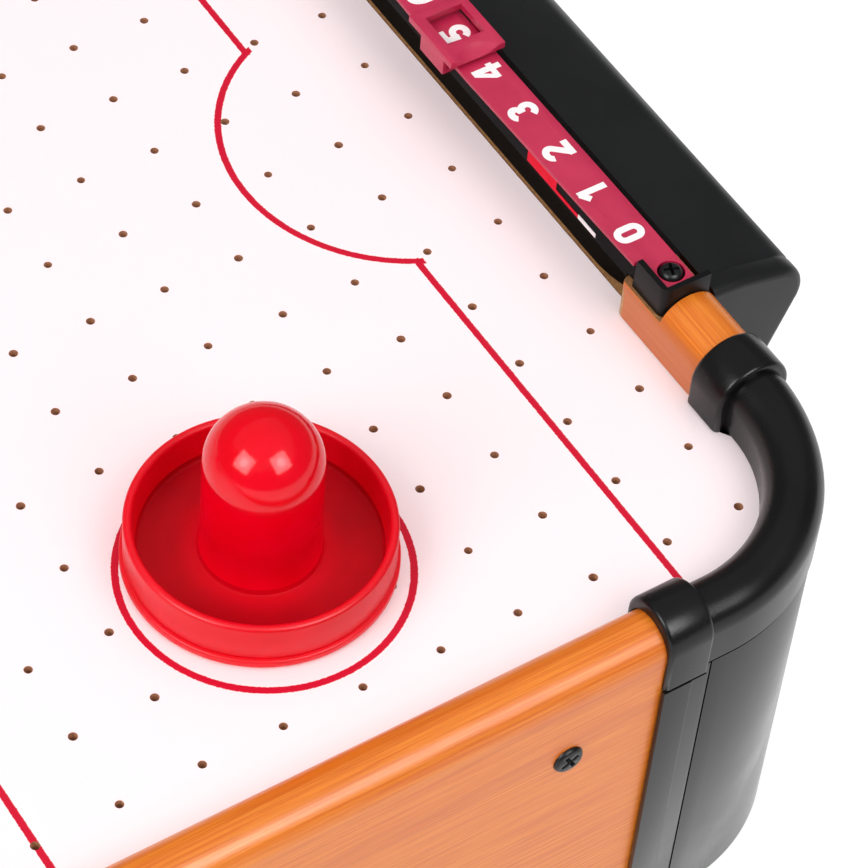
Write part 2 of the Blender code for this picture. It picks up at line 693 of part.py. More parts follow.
def power_switch(rail):
    """Rocker switch in the back rail: cut-out, bezel and rocker."""
    face = SIDE_OUT
    half_x, half_z = SWITCH_HALF
    x = (SWITCH_X - half_x, SWITCH_X + half_x)
    z = (SWITCH_Z - half_z, SWITCH_Z + half_z)
    combine(rail, "DIFFERENCE", block(x, (HALF_Y - 5, face + 5), z))
    lip = 2.0
    bezel = add("switch_bezel", block((x[0] - lip, x[1] + lip), (face + GAP, face + 1.3),
                                      (z[0] - lip, z[1] + lip)), "black_plastic")
    body = block((x[0] + GAP, x[1] - GAP), (face - SWITCH_DEPTH, face + 0.8),
                 (z[0] + GAP, z[1] - GAP))
    combine(bezel, "UNION", body)
    wall = 1.5
    well = block((x[0] + wall, x[1] - wall), (face - SWITCH_DEPTH + 1.5, face + 5),
                 (z[0] + wall, z[1] - wall))
    combine(bezel, "DIFFERENCE", well)
    pivot = face - 3.0
    half = half_x - wall - 0.8
    outline = [(-half, -2.0), (half, -2.0), (half, 3.2), (0, 2.3), (-half, 3.2)]
    outline = [(SWITCH_X + u, pivot + v) for u, v in outline]
    paddle = prism(outline, "Z", z[0] + wall + 0.4, z[1] - wall - 0.4)
    rocker = add("switch_rocker", paddle, "black_plastic", origin=(SWITCH_X, pivot, SWITCH_Z))
    rocker.rotation_euler.z = math.radians(-ROCKER_TILT)


# ---------------------------------------------------------------- loose pieces

def mallet(name, place):
    """Dish with a round knob, and the felt pad it glides on, set inside the dish's foot."""
    low = FIELD_Z + GAP
    base = low + FELT_T + GAP
    felt = [(0, low), (25.0, low), (25.0, low + FELT_T), (0, low + FELT_T)]
    add(f"{name}_felt", lathe(felt, MALLET_AT, 24), "grey_felt", place, (*MALLET_AT, low))
    knob = MALLET_KNOB_R
    knob_z = FIELD_Z + MALLET_TOP - knob
    profile = [(0, base), (25.4, base), (25.4, FIELD_Z + 0.6), (MALLET_FOOT_R, FIELD_Z + 0.6),
               (MALLET_FOOT_R, FIELD_Z + 2.9), (26.8, FIELD_Z + 3.2),
               (MALLET_R, FIELD_Z + 3.6), (MALLET_R, FIELD_Z + 10.9), (26.6, FIELD_Z + 12.0),
               (25.4, FIELD_Z + 11.6), (24.5, FIELD_Z + 4.0), (16.0, FIELD_Z + 3.5),
               (12.5, FIELD_Z + 4.2)]
    profile += [(r, knob_z + h) for r, h in arc((0, 0), knob, 0, 90, 7)[:-1]]
    profile.append((0, knob_z + knob))
    add(f"{name}_body", lathe(profile, MALLET_AT, 32), "red_plastic", place, (*MALLET_AT, low))


def puck():
    low = FIELD_Z + GAP
    high = low + PUCK_T
    profile = [(0, low), (PUCK_R - 0.6, low), (PUCK_R, low + 0.6), (PUCK_R, high - 0.6),
               (PUCK_R - 0.6, high), (0, high)]
    add("puck", lathe(profile, PUCK_AT, 24), "red_plastic", origin=(*PUCK_AT, low))


# ---------------------------------------------------------------- the table

def main():
    for thing in list(bpy.data.objects):
        bpy.data.objects.remove(thing)
    playfield_board()
    base_board()
    side_rail("side_rail_front", -1)
    back_rail = side_rail("side_rail_back", 1)
    corners = {"front_right": (1, -1), "back_right": (1, 1),
               "back_left": (-1, 1), "front_left": (-1, -1)}
    for where, (sx, sy) in corners.items():
        place = Matrix.Diagonal((sx, sy, 1, 1))
        corner_cap(f"corner_cap_{where}", place)
        corner_leg(f"corner_leg_{where}", place)
        foot_pad(f"foot_pad_{where}", place)
        side = "front" if sy < 0 else "back"
        end = "right" if sx > 0 else "left"
        rail_screw(f"rail_screw_{side}_{end}", sx * RAIL_SCREW_X, sy)
    for end, place in (("right", HERE), ("left", TURNED)):
        end_rail(f"end_rail_{end}", place)
        goal_box(f"goal_box_{end}", place)
        score_bracket(f"score_bracket_{end}", place)
        score_strip(f"score_strip_{end}", place)
        score_slider(f"score_slider_{end}", place)
        for count, side in enumerate((-1, 1)):
            strip_screw(f"strip_screw_{end}_{count + 1}", side, place)
        mallet(f"mallet_{end}", place)
    batten("batten_right", RAIL_SCREW_X)
    batten("batten_left", -RAIL_SCREW_X)
    fan_housing()
    fan_motor()
    fan_impeller()
    fan_grille()
    x, y, top = battery_box()
    battery_door(x, y, top)
    batteries(top)
    power_switch(back_rail)
    puck()


main()
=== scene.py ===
"""Looks of a tabletop air hockey table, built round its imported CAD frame.

Lengths are millimetres until a piece is written, which scales it to metres. The frame's own
boxes give the places: X runs along the table, Y across it, Z up, and the field's top is FIELD.
Pieces of the right end and the front right corner are made once and mirrored or turned.
"""

import math
import random

import bmesh
import bpy
from mathutils import Matrix, Vector


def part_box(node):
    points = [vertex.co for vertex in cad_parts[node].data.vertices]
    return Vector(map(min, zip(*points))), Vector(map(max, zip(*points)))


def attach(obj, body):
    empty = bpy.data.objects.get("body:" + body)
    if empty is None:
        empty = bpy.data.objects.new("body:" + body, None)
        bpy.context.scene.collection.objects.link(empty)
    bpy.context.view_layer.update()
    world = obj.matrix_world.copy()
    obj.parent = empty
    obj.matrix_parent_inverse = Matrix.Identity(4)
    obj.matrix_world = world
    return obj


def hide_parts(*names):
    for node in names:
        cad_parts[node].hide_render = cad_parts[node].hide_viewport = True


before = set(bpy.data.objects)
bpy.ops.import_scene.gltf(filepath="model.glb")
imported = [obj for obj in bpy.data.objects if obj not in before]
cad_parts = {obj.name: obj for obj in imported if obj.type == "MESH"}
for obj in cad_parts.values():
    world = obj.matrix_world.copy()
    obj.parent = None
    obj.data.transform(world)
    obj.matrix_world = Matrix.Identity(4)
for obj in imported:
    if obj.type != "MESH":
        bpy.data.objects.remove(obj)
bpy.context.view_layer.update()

MM = 0.001
GAP = 0.3
SEED = 11
WORLD_LIGHT = 0.15


def span_of(node):
    """The two far corners of a frame piece's box, in millimetres."""
    return tuple(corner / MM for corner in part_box(node)[:2])


def round_of(node):
    """Centre in plan, radius, bottom and top of an upright round piece of the frame."""
    low, high = span_of(node)
    return ((low.x + high.x) / 2, (low.y + high.y) / 2), (high.x - low.x) / 2, low.z, high.z


# Places read from the frame
BOARD_LOW, FIELD = (corner.z for corner in span_of("playfield_board"))
BASE_TOP = span_of("base_board")[1].z
SIDE_LOW, SIDE_HIGH = span_of("side_rail_back")
END_LOW, END_HIGH = span_of("end_rail_right")
SIDE_IN, SIDE_OUT = SIDE_LOW.y, SIDE_HIGH.y
END_IN, END_OUT = END_LOW.x, END_HIGH.x
RAIL_LOW = SIDE_LOW.z
CAP_FROM = span_of("corner_cap_back_right")[0]
CAP_LOW = CAP_FROM.z
COLLAR_FROM = (CAP_FROM.x, CAP_FROM.y)
LEG_LOW = span_of("corner_leg_back_right")[0].z
BOX_LOW, BOX_HIGH = span_of("goal_box_right")
STRIP_LOW, STRIP_HIGH = span_of("score_strip_right")
MALLET_AT, MALLET_R, MALLET_LOW, MALLET_TOP = round_of("mallet_right_body")

# Frame and corners
SIDE_T = SIDE_OUT - SIDE_IN
END_T = END_OUT - END_IN
SIDE_ARCH = SIDE_HIGH.z - SIDE_T / 2  # centre of the half round on a rail
END_ARCH = END_HIGH.z - END_T / 2
COLLAR_ARCH = FIELD + 6.5
GROOVE = 3.4
BOARD_T = 3.0
CORNER = (186.6, 111.0)
RING_IN = 29.35
RING_HALF = (6.15, 6.7)  # half width at the side rail and at the end rail
LEG_R = 41.4
CAP_WALL = 1.8
COLLAR = 1.4
COLLAR_TO = (180.0, 108.1)
COLLAR_ROUND = 1.0
SOCKET = 2.0
LEG_WALL = 2.2
LEG_CHANNEL = 1.5
LEG_SEAM = (1.95, 2.3, 0.9)  # from, to and depth of the groove beside each flat
LEG_RIDGE, LEG_SHY = 4.0, 0.15  # the flat steps in by LEG_SHY short of its edge
FOOT_FLOOR = (3.0, 5.2)

# Goals and counters
MOUTH = 69.7
SILL = FIELD - 10.0
ROUTED = (14.0, 3.6)  # what the cutter left in the mouth's inner corners, along Y and X
LIP_DROP, LIP_T = 0.2, 0.7  # the brown lip in the mouth: below the field, and its thickness
CUT_ROUND = 2.2
NOTCH_END = 83.7
NOTCH_TOP = FIELD + 9.9
BOX_WALL = 2.2
BOX_TOP_BREAK = 238.0
BOX_FACE = ((239.8, FIELD - 42.0), (232.8, FIELD - 59.0))  # bends in its face, (x, z)
WINDOW_HALF = 32.0
WINDOW_Z = (FIELD - 55.0, FIELD - 39.0)
WINDOW_TURN = 3.0
SHOULDER = (246.9, FIELD - 1.2)  # centre of the goal box's round shoulder, (x, z)
SHOULDER_R = 8.1
CRADLE_Y = 72.6
CRADLE_LIP = 1.3
BEAM_X = (216.8, 222.6)
BEAM_LOW = (FIELD + 10.6, FIELD + 9.4)  # at its ends, and inside the goal mouth
BEAM_TOP = FIELD + 15.6
STRIP_TUCK = 217.7
SCORE_PITCH = 13.5
SCORE_MIDDLE = 2.6
DIGIT_HIGH = 7.0
DIGIT_STROKE = 1.6
DIGIT_T = 0.25
DIGIT_SINK = 0.21
FOUR = [(2.35, 7.0), (4.05, 7.0), (4.05, 3.0), (4.75, 3.0), (4.75, 1.55), (4.05, 1.55), (4.05, 0.0),
        (2.5, 0.0), (2.5, 1.55), (0.0, 1.55), (0.0, 2.75)]
FOUR_COUNTER = [(2.5, 2.95), (1.5, 2.95), (2.5, 4.75)]
SKIRT_Y = (-7.0, 2.0)
SLIDER_WINDOW_X = (214.7, 224.0)
SLIDER_WINDOW_HALF = 4.75
SCOOP = (11.0, 9.3)  # radius of the thumb scoop's ball, and how far its centre is above the top

# Screws
STRIP_SCREW = (221.2, 78.0)
STRIP_HEAD_R = 2.65
STRIP_SCREW_HOLE_R = 1.6
RAIL_SCREW_X = 148.2
RAIL_SCREW_Z = FIELD - 13.0
RAIL_HEAD_R = 3.4
RAIL_SCREW_HOLE_R = 1.9
SWITCH_LIP = 2.0

# Field: air holes and print
HOLE_PITCH = 18.0
HOLE_R = 0.95
HOLES_X, HOLES_Y = 12, 7
PRINT_Y = -1.6  # the print sits a little off the board's middle
LINE = 1.55
ZONE_X = 45.1
GOAL_LINE_X = 185.7
CREASE_X, CREASE_R = 203.9, 40.0
FACE_OFF = (115.4, 90.0)
FACE_OFF_R = 29.7
CENTRE_R = 36.0

# Loose pieces and cells
KNOB_R = 12.1
COPPER_FROM = -116.0  # where the copper-coloured end of a cell's sleeve starts

HERE = Matrix.Identity(4)
TURNED = Matrix.Rotation(math.pi, 4, "Z")
ENDS = {"right": HERE, "left": TURNED}
CORNERS = {"front_right": (1, -1), "back_right": (1, 1),
           "back_left": (-1, 1), "front_left": (-1, -1)}


# -------- shader graphs

def operation(kind):
    return lambda self, *others: self.graph.maths(kind, self, *others)


class Term:
    """A value in a material's node graph, used like a number."""
    __add__, __sub__, __mul__ = operation("ADD"), operation("SUBTRACT"), operation("MULTIPLY")
    __abs__, lesser, greater = operation("ABSOLUTE"), operation("MINIMUM"), operation("MAXIMUM")

    def __init__(self, graph, socket):
        self.graph, self.socket = graph, socket

    def ramp(self, start, stop, low=0.0, high=1.0):
        """Runs smoothly from low to high as the value goes from start to stop."""
        values = {"Value": self, "From Min": start, "From Max": stop, "To Min": low, "To Max": high}
        return self.graph.node("MapRange", values, interpolation_type="SMOOTHSTEP")


class Graph:
    """A material made of nodes, with its maths written as expressions."""

    def __init__(self, name):
        self.material = bpy.data.materials.new(name)
        self.material.use_nodes = True
        self.tree = self.material.node_tree
        self.surface = self.tree.nodes["Principled BSDF"]
        place = self.node("TexCoord", {}, output="Object")
        spot = self.node("VectorMath", {0: place, 1: (1 / MM,) * 3}, operation="MULTIPLY")
        split = self.node("SeparateXYZ", {0: spot}).socket.node
        self.x, self.y, self.z = (Term(self, output) for output in split.outputs)

    def feed(self, socket, value):
        if isinstance(value, Term):
            self.tree.links.new(value.socket, socket)
        elif socket.type == "RGBA" and len(value) == 3:
            socket.default_value = (*value, 1.0)
        else:
            socket.default_value = value

    def node(self, kind, inputs, output=0, **settings):
        made = self.tree.nodes.new("ShaderNode" + kind)
        for key, value in settings.items():
            setattr(made, key, value)
        for key, value in inputs.items():
            self.feed(made.inputs[key], value)
        return Term(self, made.outputs[output])

    def maths(self, operation, *values):
        return self.node("Math", dict(enumerate(values)), operation=operation)

    def vector(self, x, y, z):
        return self.node("CombineXYZ", {0: x, 1: y, 2: z})

    def noise(self, stretch=(1, 1, 1), scale=1.0, detail=3.0, roughness=0.55, shift=0.0):
        """Noise over the piece, with scale in turns per millimetre before stretching."""
        spot = self.vector(self.x * stretch[0] + shift, self.y * stretch[1], self.z * stretch[2])
        values = {"Vector": spot, "Scale": scale, "Detail": detail, "Roughness": roughness}
        return self.node("TexNoise", values)

    def specks(self, scale, size, shift=0.0):
        """Small round spots at random places: 1 on a spot."""
        spot = self.vector(self.x + shift, self.y, self.z)
        return self.node("TexVoronoi", {"Vector": spot, "Scale": scale}).ramp(size, size * 0.5)

    def mix(self, amount, first, second):
        values = {0: amount, 6: first, 7: second}
        return self.node("Mix", values, output=2, data_type="RGBA")

    def bump(self, height, depth, under=None):
        """Normals from a height of 0 to 1 that stands for depth in millimetres."""
        values = {"Height": height, "Distance": depth * MM, "Strength": 1.0}
        if under is not None:
            values["Normal"] = under
        return self.node("Bump", values)

    def finish(self, **inputs):
        for key, value in inputs.items():
            name = "Specular IOR Level" if key == "specular" else key.replace("_", " ").title()
            self.feed(self.surface.inputs[name], value)
        return self.material


def shade(colour, factor):
    return tuple(value * factor for value in colour)


def srgb(red, green, blue):
    """Linear colour of a screen colour."""
    return tuple(value / 255 / 12.92 if value < 11 else ((value / 255 + 0.055) / 1.055) ** 2.4
                 for value in (red, green, blue))


# -------- materials

def printed_lines(g):
    """1 where the field is printed red."""
    wobble = (g.noise(scale=1.9, detail=2.0) - 0.5) * 0.34
    half_x = abs(g.x)
    y = g.y - PRINT_Y
    half_y = abs(y)

    def ring(x, around_y, radius):
        across = g.maths("SQRT", x * x + around_y * around_y)
        return abs(across - radius)

    crease = ring(half_x - CREASE_X, y, CREASE_R)
    crease = crease.greater(half_x - GOAL_LINE_X - LINE / 2)
    chord = math.sqrt(CREASE_R ** 2 - (CREASE_X - GOAL_LINE_X) ** 2)
    goal = abs(half_x - GOAL_LINE_X).greater((half_y * -1.0) + chord)
    zone = abs(half_x - ZONE_X)
    spots = ring(half_x - FACE_OFF[0], half_y - FACE_OFF[1], FACE_OFF_R)
    centre = ring(g.x, y, CENTRE_R).lesser(half_x)
    nearest = crease.lesser(goal).lesser(zone).lesser(spots).lesser(centre)
    return (nearest + wobble).ramp(LINE / 2 + 0.09, LINE / 2 - 0.09)


def field_laminate():
    g = Graph("field_laminate")
    ink = printed_lines(g)
    cloud = g.noise(scale=0.012, detail=2.0)
    white = g.mix(cloud, srgb(250, 231, 233), srgb(252, 235, 237))
    dust = g.specks(0.055, 0.012)
    white = g.mix(dust, white, srgb(176, 150, 140))
    red = g.mix(g.noise(scale=0.6), srgb(204, 0, 42), srgb(218, 2, 50))
    skin = g.noise(scale=1.6, detail=2.0)
    # painted light: the white of the field glows faintly (the print does not), so shadows on it
    # stay light
    return g.finish(base_color=g.mix(ink, white, red), roughness=skin.ramp(0.2, 0.8, 0.38, 0.46),
                    specular=0.25, normal=g.bump(skin, 0.012, g.bump(ink, 0.01)),
                    emission_color=(0.9, 0.95, 1.0), emission_strength=(ink * -1.0 + 1.0) * 0.08)


def raw_board(name, tone):
    """Cut edge of fibre board: brown, fibrous and dull."""
    g = Graph(name)
    fibre = g.noise(stretch=(1, 1, 3.2), scale=1.1, detail=6.0, roughness=0.7)
    light = srgb(*tone)
    colour = g.mix(fibre.ramp(0.25, 0.75), shade(light, 0.45), light)
    return g.finish(base_color=colour, roughness=0.88, normal=g.bump(fibre, 0.12))


def wood_film(axis):
    """Glossy printed wood grain that runs along one axis."""
    g = Graph(f"wood_film_{axis.lower()}")

    def drawn(along, across):
        return (along, across, across) if axis == "X" else (across, along, across)

    veins = g.noise(stretch=drawn(0.014, 0.35), scale=0.42, detail=4.0, roughness=0.6)
    veins = veins.ramp(0.50, 0.70) * veins.ramp(0.86, 0.62)
    lines = g.noise(stretch=drawn(0.018, 1.0), scale=1.7, detail=5.0, roughness=0.65)
    pores = g.noise(stretch=drawn(0.0288, 1.6), scale=3.6, detail=2.0, shift=40.0)
    tone = g.mix(lines.ramp(0.33, 0.67), srgb(221, 108, 20), srgb(239, 138, 38))
    tone = g.mix(veins * 0.35, tone, srgb(194, 74, 14))
    tone = g.mix(pores.ramp(0.58, 0.72) * 0.4, tone, srgb(180, 82, 28))
    if axis == "Y":  # painted shade: the end rails' inner faces are mixed towards a deeper red
        inner = abs(g.x).ramp(END_IN + 2.0, END_IN + 0.2)
        tone = g.mix(inner * 0.7, tone, srgb(190, 98, 44))
    return g.finish(base_color=tone, roughness=pores.ramp(0.3, 0.8, 0.30, 0.40),
                    coat_weight=0.2, coat_roughness=0.2, specular=0.42,
                    normal=g.bump(lines, 0.012, g.bump(pores, 0.012)))


def black_plastic(name, gloss, wear, tone=(16, 16, 17), depth=0.02, shine=0.3):
    """Moulded plastic with a fine grain, handling marks and a few specks of dust."""
    g = Graph(name)
    grit = g.noise(scale=2.2, detail=3.0)
    patches = g.noise(scale=0.06, detail=3.0)
    marks = g.noise(stretch=(1.0, 0.25, 0.6), scale=0.55, detail=6.0, roughness=0.75, shift=7.0)
    marks = marks.ramp(0.66, 0.78) * patches.ramp(0.50, 0.66) * wear
    dust = g.specks(0.11, 0.022, shift=3.0) * wear
    base = srgb(*tone)
    light = tuple(value * 3.0 + 0.02 for value in base)
    colour = g.mix(patches.ramp(0.3, 0.7), shade(base, 0.86), base)
    colour = g.mix(marks * 0.6, colour, light)
    colour = g.mix(dust * 0.8, colour, srgb(120, 118, 112))
    rough = patches.ramp(0.25, 0.75, gloss - 0.04, gloss + 0.05) + marks * 0.15
    return g.finish(base_color=colour, roughness=rough, specular=shine, normal=g.bump(grit, depth))


def bright_plastic(name, dark, light, gloss):
    """Coloured plastic with slight clouding and fine scuffs."""
    g = Graph(name)
    cloud = g.noise(scale=0.10, detail=2.0)
    scuff = g.noise(stretch=(0.3, 1.0, 0.7), scale=1.6, detail=5.0, roughness=0.7)
    colour = g.mix(cloud.ramp(0.3, 0.7), srgb(*dark), srgb(*light))
    rough = scuff.ramp(0.4, 0.8, gloss, gloss + 0.10)
    return g.finish(base_color=colour, roughness=rough, normal=g.bump(scuff, 0.012))


def mallet_plastic(name, painted_floor_shade):
    """Glossy translucent red with a faint glow of painted light. Painted shade deepens the dish's
    floor away from the shaft; the shaft is dull and glows more, painted evenly lit.
    """
    g = Graph(name)
    cloud = g.noise(scale=0.09, detail=2.0)
    scuff = g.noise(stretch=(0.5, 1.0, 0.4), scale=0.9, detail=6.0, roughness=0.75)
    nicks = g.specks(0.16, 0.02) * scuff.ramp(0.5, 0.62)
    colour = g.mix(cloud.ramp(0.3, 0.7), srgb(222, 0, 22), srgb(228, 1, 30))
    across, along = abs(g.x) - MALLET_AT[0], g.y * g.maths("SIGN", g.x) - MALLET_AT[1]
    reach = g.maths("SQRT", across * across + along * along)
    if painted_floor_shade:
        # painted shade on the floor, darker away from the shaft, where its painted glow also fades
        away = reach.ramp(12.6, 18.0, 0.55, 1.0)
        colour = g.mix(away * cloud.ramp(0.2, 0.8, 0.75, 1.0), colour, srgb(174, 4, 20))
        glow, shine = away * -0.10 + 0.13, 0.08
    else:
        # painted light: the shaft glows more, so it looks evenly lit
        shaft = reach.ramp(15.0, 13.0) * g.z.ramp(MALLET_TOP - 12.0, MALLET_TOP - 15.0)
        glow, shine = shaft * 0.04 + 0.09, shaft * -0.27 + 0.35
    colour = g.mix(nicks * 0.7, colour, srgb(250, 96, 100))
    rough = scuff.ramp(0.35, 0.85, 0.10, 0.18) + g.z.ramp(FIELD + 28.0, FIELD + 9.0) * 0.24
    return g.finish(base_color=colour, roughness=rough, specular=shine,
                    normal=g.bump(scuff, 0.006), subsurface_weight=0.12,
                    subsurface_radius=(1.0, 0.12, 0.1), subsurface_scale=0.002,
                    emission_color=colour, emission_strength=glow)


def felt():
    g = Graph("mallet_felt")
    fibre = g.noise(scale=3.2, detail=6.0, roughness=0.8)
    clump = g.noise(scale=0.5, detail=2.0)
    colour = g.mix(fibre.ramp(0.3, 0.7), srgb(186, 186, 176), srgb(226, 226, 218))
    colour = g.mix(clump.ramp(0.45, 0.75) * 0.3, colour, srgb(160, 160, 150))
    return g.finish(base_color=colour, roughness=0.95, sheen_weight=0.3, normal=g.bump(fibre, 0.25))


def print_ink(name, dark, light, shine):
    g = Graph(name)
    grain = g.noise(scale=2.5, detail=3.0)
    colour = g.mix(grain.ramp(0.3, 0.7), srgb(*dark), srgb(*light))
    return g.finish(base_color=colour, roughness=0.5, specular=shine, normal=g.bump(grain, 0.008))


def metal(name, tone, gloss, metallic=1.0):
    """Turned or coated metal with fine scratches."""
    g = Graph(name)
    scratch = g.noise(stretch=(0.4, 2.0, 1.0), scale=2.4, detail=5.0, roughness=0.7)
    patches = g.noise(scale=0.4, detail=2.0)
    base = srgb(*tone)
    colour = g.mix(patches, shade(base, 0.8), base)
    return g.finish(base_color=colour, metallic=metallic, normal=g.bump(scratch, 0.02),
                    roughness=scratch.ramp(0.3, 0.8, gloss, gloss + 0.15))


def cell_wrap():
    """Printed sleeve of a cell: a copper-coloured end and a dark body, without lettering."""
    g = Graph("cell_wrap")
    end = g.x.ramp(COPPER_FROM, COPPER_FROM + 0.4)
    grain = g.noise(scale=1.5)
    dark = g.mix(grain, srgb(34, 34, 36), srgb(44, 44, 47))
    copper = g.mix(grain, srgb(186, 112, 58), srgb(206, 130, 70))
    return g.finish(base_color=g.mix(end, dark, copper), metallic=0.5, roughness=0.3,
                    normal=g.bump(grain, 0.01))


# -------- shapes

def arc(centre, radius, start, stop, steps):
    """Points along an arc, ends included, with angles in degrees. The radius may be a pair."""
    across, up = radius if isinstance(radius, tuple) else (radius, radius)
    angles = [math.radians(start + (stop - start) * i / steps) for i in range(steps + 1)]
    return [(centre[0] + across * math.cos(a), centre[1] + up * math.sin(a)) for a in angles]


def circle(centre, radius, steps):
    return arc(centre, radius, 0, 360, steps)[:-1]


def prism(outline, axis, low, high):
    """A flat outline pushed along an axis. Its points are the two other coordinates in order."""
    def place(point, along):
        u, v = point
        return {"X": (along, u, v), "Y": (u, along, v), "Z": (u, v, along)}[axis]

    bm = bmesh.new()
    start = [bm.verts.new(place(p, low)) for p in outline]
    end = [bm.verts.new(place(p, high)) for p in outline]
    bm.faces.new(start)
    bm.faces.new(end)
    for i in range(len(outline)):
        j = (i + 1) % len(outline)
        bm.faces.new((start[i], start[j], end[j], end[i]))
    return bm


def block(x, y, z):
    return prism([(x[0], y[0]), (x[1], y[0]), (x[1], y[1]), (x[0], y[1])], "Z", z[0], z[1])


def pierced(outline, holes, low, high):
    """A plate in the XY plane with holes through it."""
    bm = bmesh.new()
    for loop in [outline] + holes:
        verts = [bm.verts.new((x, y, low)) for x, y in loop]
        for i in range(len(verts)):
            bm.edges.new((verts[i - 1], verts[i]))
    bmesh.ops.triangle_fill(bm, edges=bm.edges[:], use_beauty=True)
    grown = bmesh.ops.extrude_face_region(bm, geom=bm.faces[:])
    moved = [item for item in grown["geom"] if isinstance(item, bmesh.types.BMVert)]
    bmesh.ops.translate(bm, verts=moved, vec=(0, 0, high - low))
    return bm


def skin(rows, around=False, caps=False, bm=None):
    """Faces over a grid of points. The rows close into loops, and caps fill the end rows."""
    bm = bm or bmesh.new()
    grid = [[bm.verts.new(point) for point in row] for row in rows]
    count = len(grid[0])
    for a, b in zip(grid, grid[1:]):
        for k in range(count if around else count - 1):
            j = (k + 1) % count
            bm.faces.new((a[k], a[j], b[j], b[k]))
    if caps:
        bm.faces.new(grid[0])
        bm.faces.new(grid[-1])
    return bm


def lathe(profile, centre=(0, 0), steps=64):
    """A profile of (radius, z) points, from axis to axis, turned about a vertical line."""
    bm = bmesh.new()
    rings = []
    for radius, z in profile:
        points = [(centre[0], centre[1])] if radius == 0 else circle(centre, radius, steps)
        rings.append([bm.verts.new((x, y, z)) for x, y in points])
    for lower, upper in zip(rings, rings[1:]):
        for i in range(steps):
            j = (i + 1) % steps
            corners = [lower[i % len(lower)], lower[j % len(lower)],
                       upper[j % len(upper)], upper[i % len(upper)]]
            bm.faces.new(list(dict.fromkeys(corners)))
    return bm


def show(name, data):
    """A new object in the scene."""
    thing = bpy.data.objects.new(name, data)
    bpy.context.scene.collection.objects.link(thing)
    return thing


def write(name, bm, place=HERE):
    """A mesh object in metres from a shape in millimetres."""
    bm.transform(Matrix.Scale(MM, 4) @ place)
    bmesh.ops.recalc_face_normals(bm, faces=bm.faces[:])
    mesh = bpy.data.meshes.new(name)
    bm.to_mesh(mesh)
    bm.free()
    return show(name, mesh)


def combine(thing, how, bm, place=HERE):
    """Join a shape on to an object, or cut it out, for good."""
    tool = write("tool", bm, place)
    boolean = thing.modifiers.new("combine", "BOOLEAN")
    boolean.operation = how
    boolean.object = tool
    boolean.solver = "EXACT"
    settle(thing)
    bpy.data.objects.remove(tool)


def carve(thing, bm, place=HERE):
    combine(thing, "DIFFERENCE", bm, place)


def settle(thing):
    """Make an object's modifiers part of its mesh."""
    bpy.context.view_layer.update()
    shown = thing.evaluated_get(bpy.context.evaluated_depsgraph_get())
    mesh = bpy.data.meshes.new_from_object(shown)
    thing.modifiers.clear()
    old, thing.data = thing.data, mesh
    bpy.data.meshes.remove(old)


def bevel(thing, width, segments, angle):
    """A modifier that rounds an object's edges."""
    made = thing.modifiers.new("soften", "BEVEL")
    made.width = width * MM
    made.segments = segments
    made.limit_method = "ANGLE"
    made.angle_limit = math.radians(angle)
    return made


def soften(thing, width, segments=3, angle=32):
    """Round the edges of an object for good."""
    bevel(thing, width, segments, angle).miter_outer = "MITER_ARC"
    settle(thing)


def dress(thing, materials, node=None, body="table", crease=32):
    """Give a finished shape its materials, body and the CAD node it stands for."""
    for material in materials if isinstance(materials, list) else [materials]:
        thing.data.materials.append(material)
    thing.data.shade_smooth()
    thing.data.set_sharp_from_angle(angle=math.radians(crease))
    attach(thing, body)
    if node:
        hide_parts(node)


def paint(thing, index, test):
    """Give the faces that pass the test another of the object's materials."""
    for face in thing.data.polygons:
        if test(face.center / MM, face.normal):
            face.material_index = index


# -------- field and frame

def playfield():
    """White board with its grid of air holes; print and colour come from the material."""
    x_edge, y_edge, radius = END_IN + GROOVE, SIDE_IN + GROOVE, 39.0
    x_stop = math.degrees(math.asin((y_edge - CORNER[1]) / radius))
    y_start = math.degrees(math.acos((x_edge - CORNER[0]) / radius))
    quarter = arc(CORNER, radius, y_start, x_stop, 10)
    outline = []
    for count, (sx, sy) in enumerate(((1, 1), (-1, 1), (-1, -1), (1, -1))):
        corner = [(sx * x, sy * y) for x, y in quarter]
        outline += corner if count % 2 == 0 else corner[::-1]
    draw = random.Random(SEED)
    holes = []
    for i in range(-HOLES_X, HOLES_X):
        for j in range(-HOLES_Y, HOLES_Y + 1):
            x = (i + 0.5) * HOLE_PITCH + draw.uniform(-0.12, 0.12)
            y = j * HOLE_PITCH + draw.uniform(-0.12, 0.12)
            if math.hypot(max(abs(x) - CORNER[0], 0), max(abs(y) - CORNER[1], 0)) < RING_IN - 2:
                holes.append(circle((x, y), HOLE_R * draw.uniform(0.94, 1.06), 16))
    board = write("playfield", pierced(outline, holes, BOARD_LOW, FIELD))
    dress(board, [FIELD_LAMINATE, HOLE_EDGE], "playfield_board")
    paint(board, 1, lambda centre, normal: normal.z < 0.5)


def rail_section(inner, thick, arch):
    """Rail cross-section: half-round top, grooves for the playing board and the base board."""
    deep = inner + GROOVE + GAP
    points = [(inner + thick, RAIL_LOW)]
    points += arc((inner + thick / 2, arch), thick / 2, 0, 180, 30)
    for top in (FIELD, BASE_TOP):
        points += [(inner, top + GAP), (deep, top + GAP)]
        points += [(deep, top - BOARD_T - GAP), (inner, top - BOARD_T - GAP)]
    points.append((inner, RAIL_LOW))
    return points


def wrap_wood(rail, across, outer, inner, arch_z, node):
    """Film on the outside, the round top and the inside; raw board on cut faces."""
    film = (WOOD_Y, WOOD_X)[across]
    dress(rail, [film, RAW_EDGE, SHADED_SILL_BOARD, BOARD_EDGE], node)

    def cut(centre, normal):
        skinned = min(abs(abs(centre[across]) - outer), abs(abs(centre[across]) - inner)) < 0.01
        arch = centre.z > arch_z - 0.01 and abs(normal[1 - across]) < 0.5
        arch = arch and not (abs(normal.z) > 0.999 and centre.z < NOTCH_TOP + 0.1)
        return not skinned and not arch

    paint(rail, 1, cut)


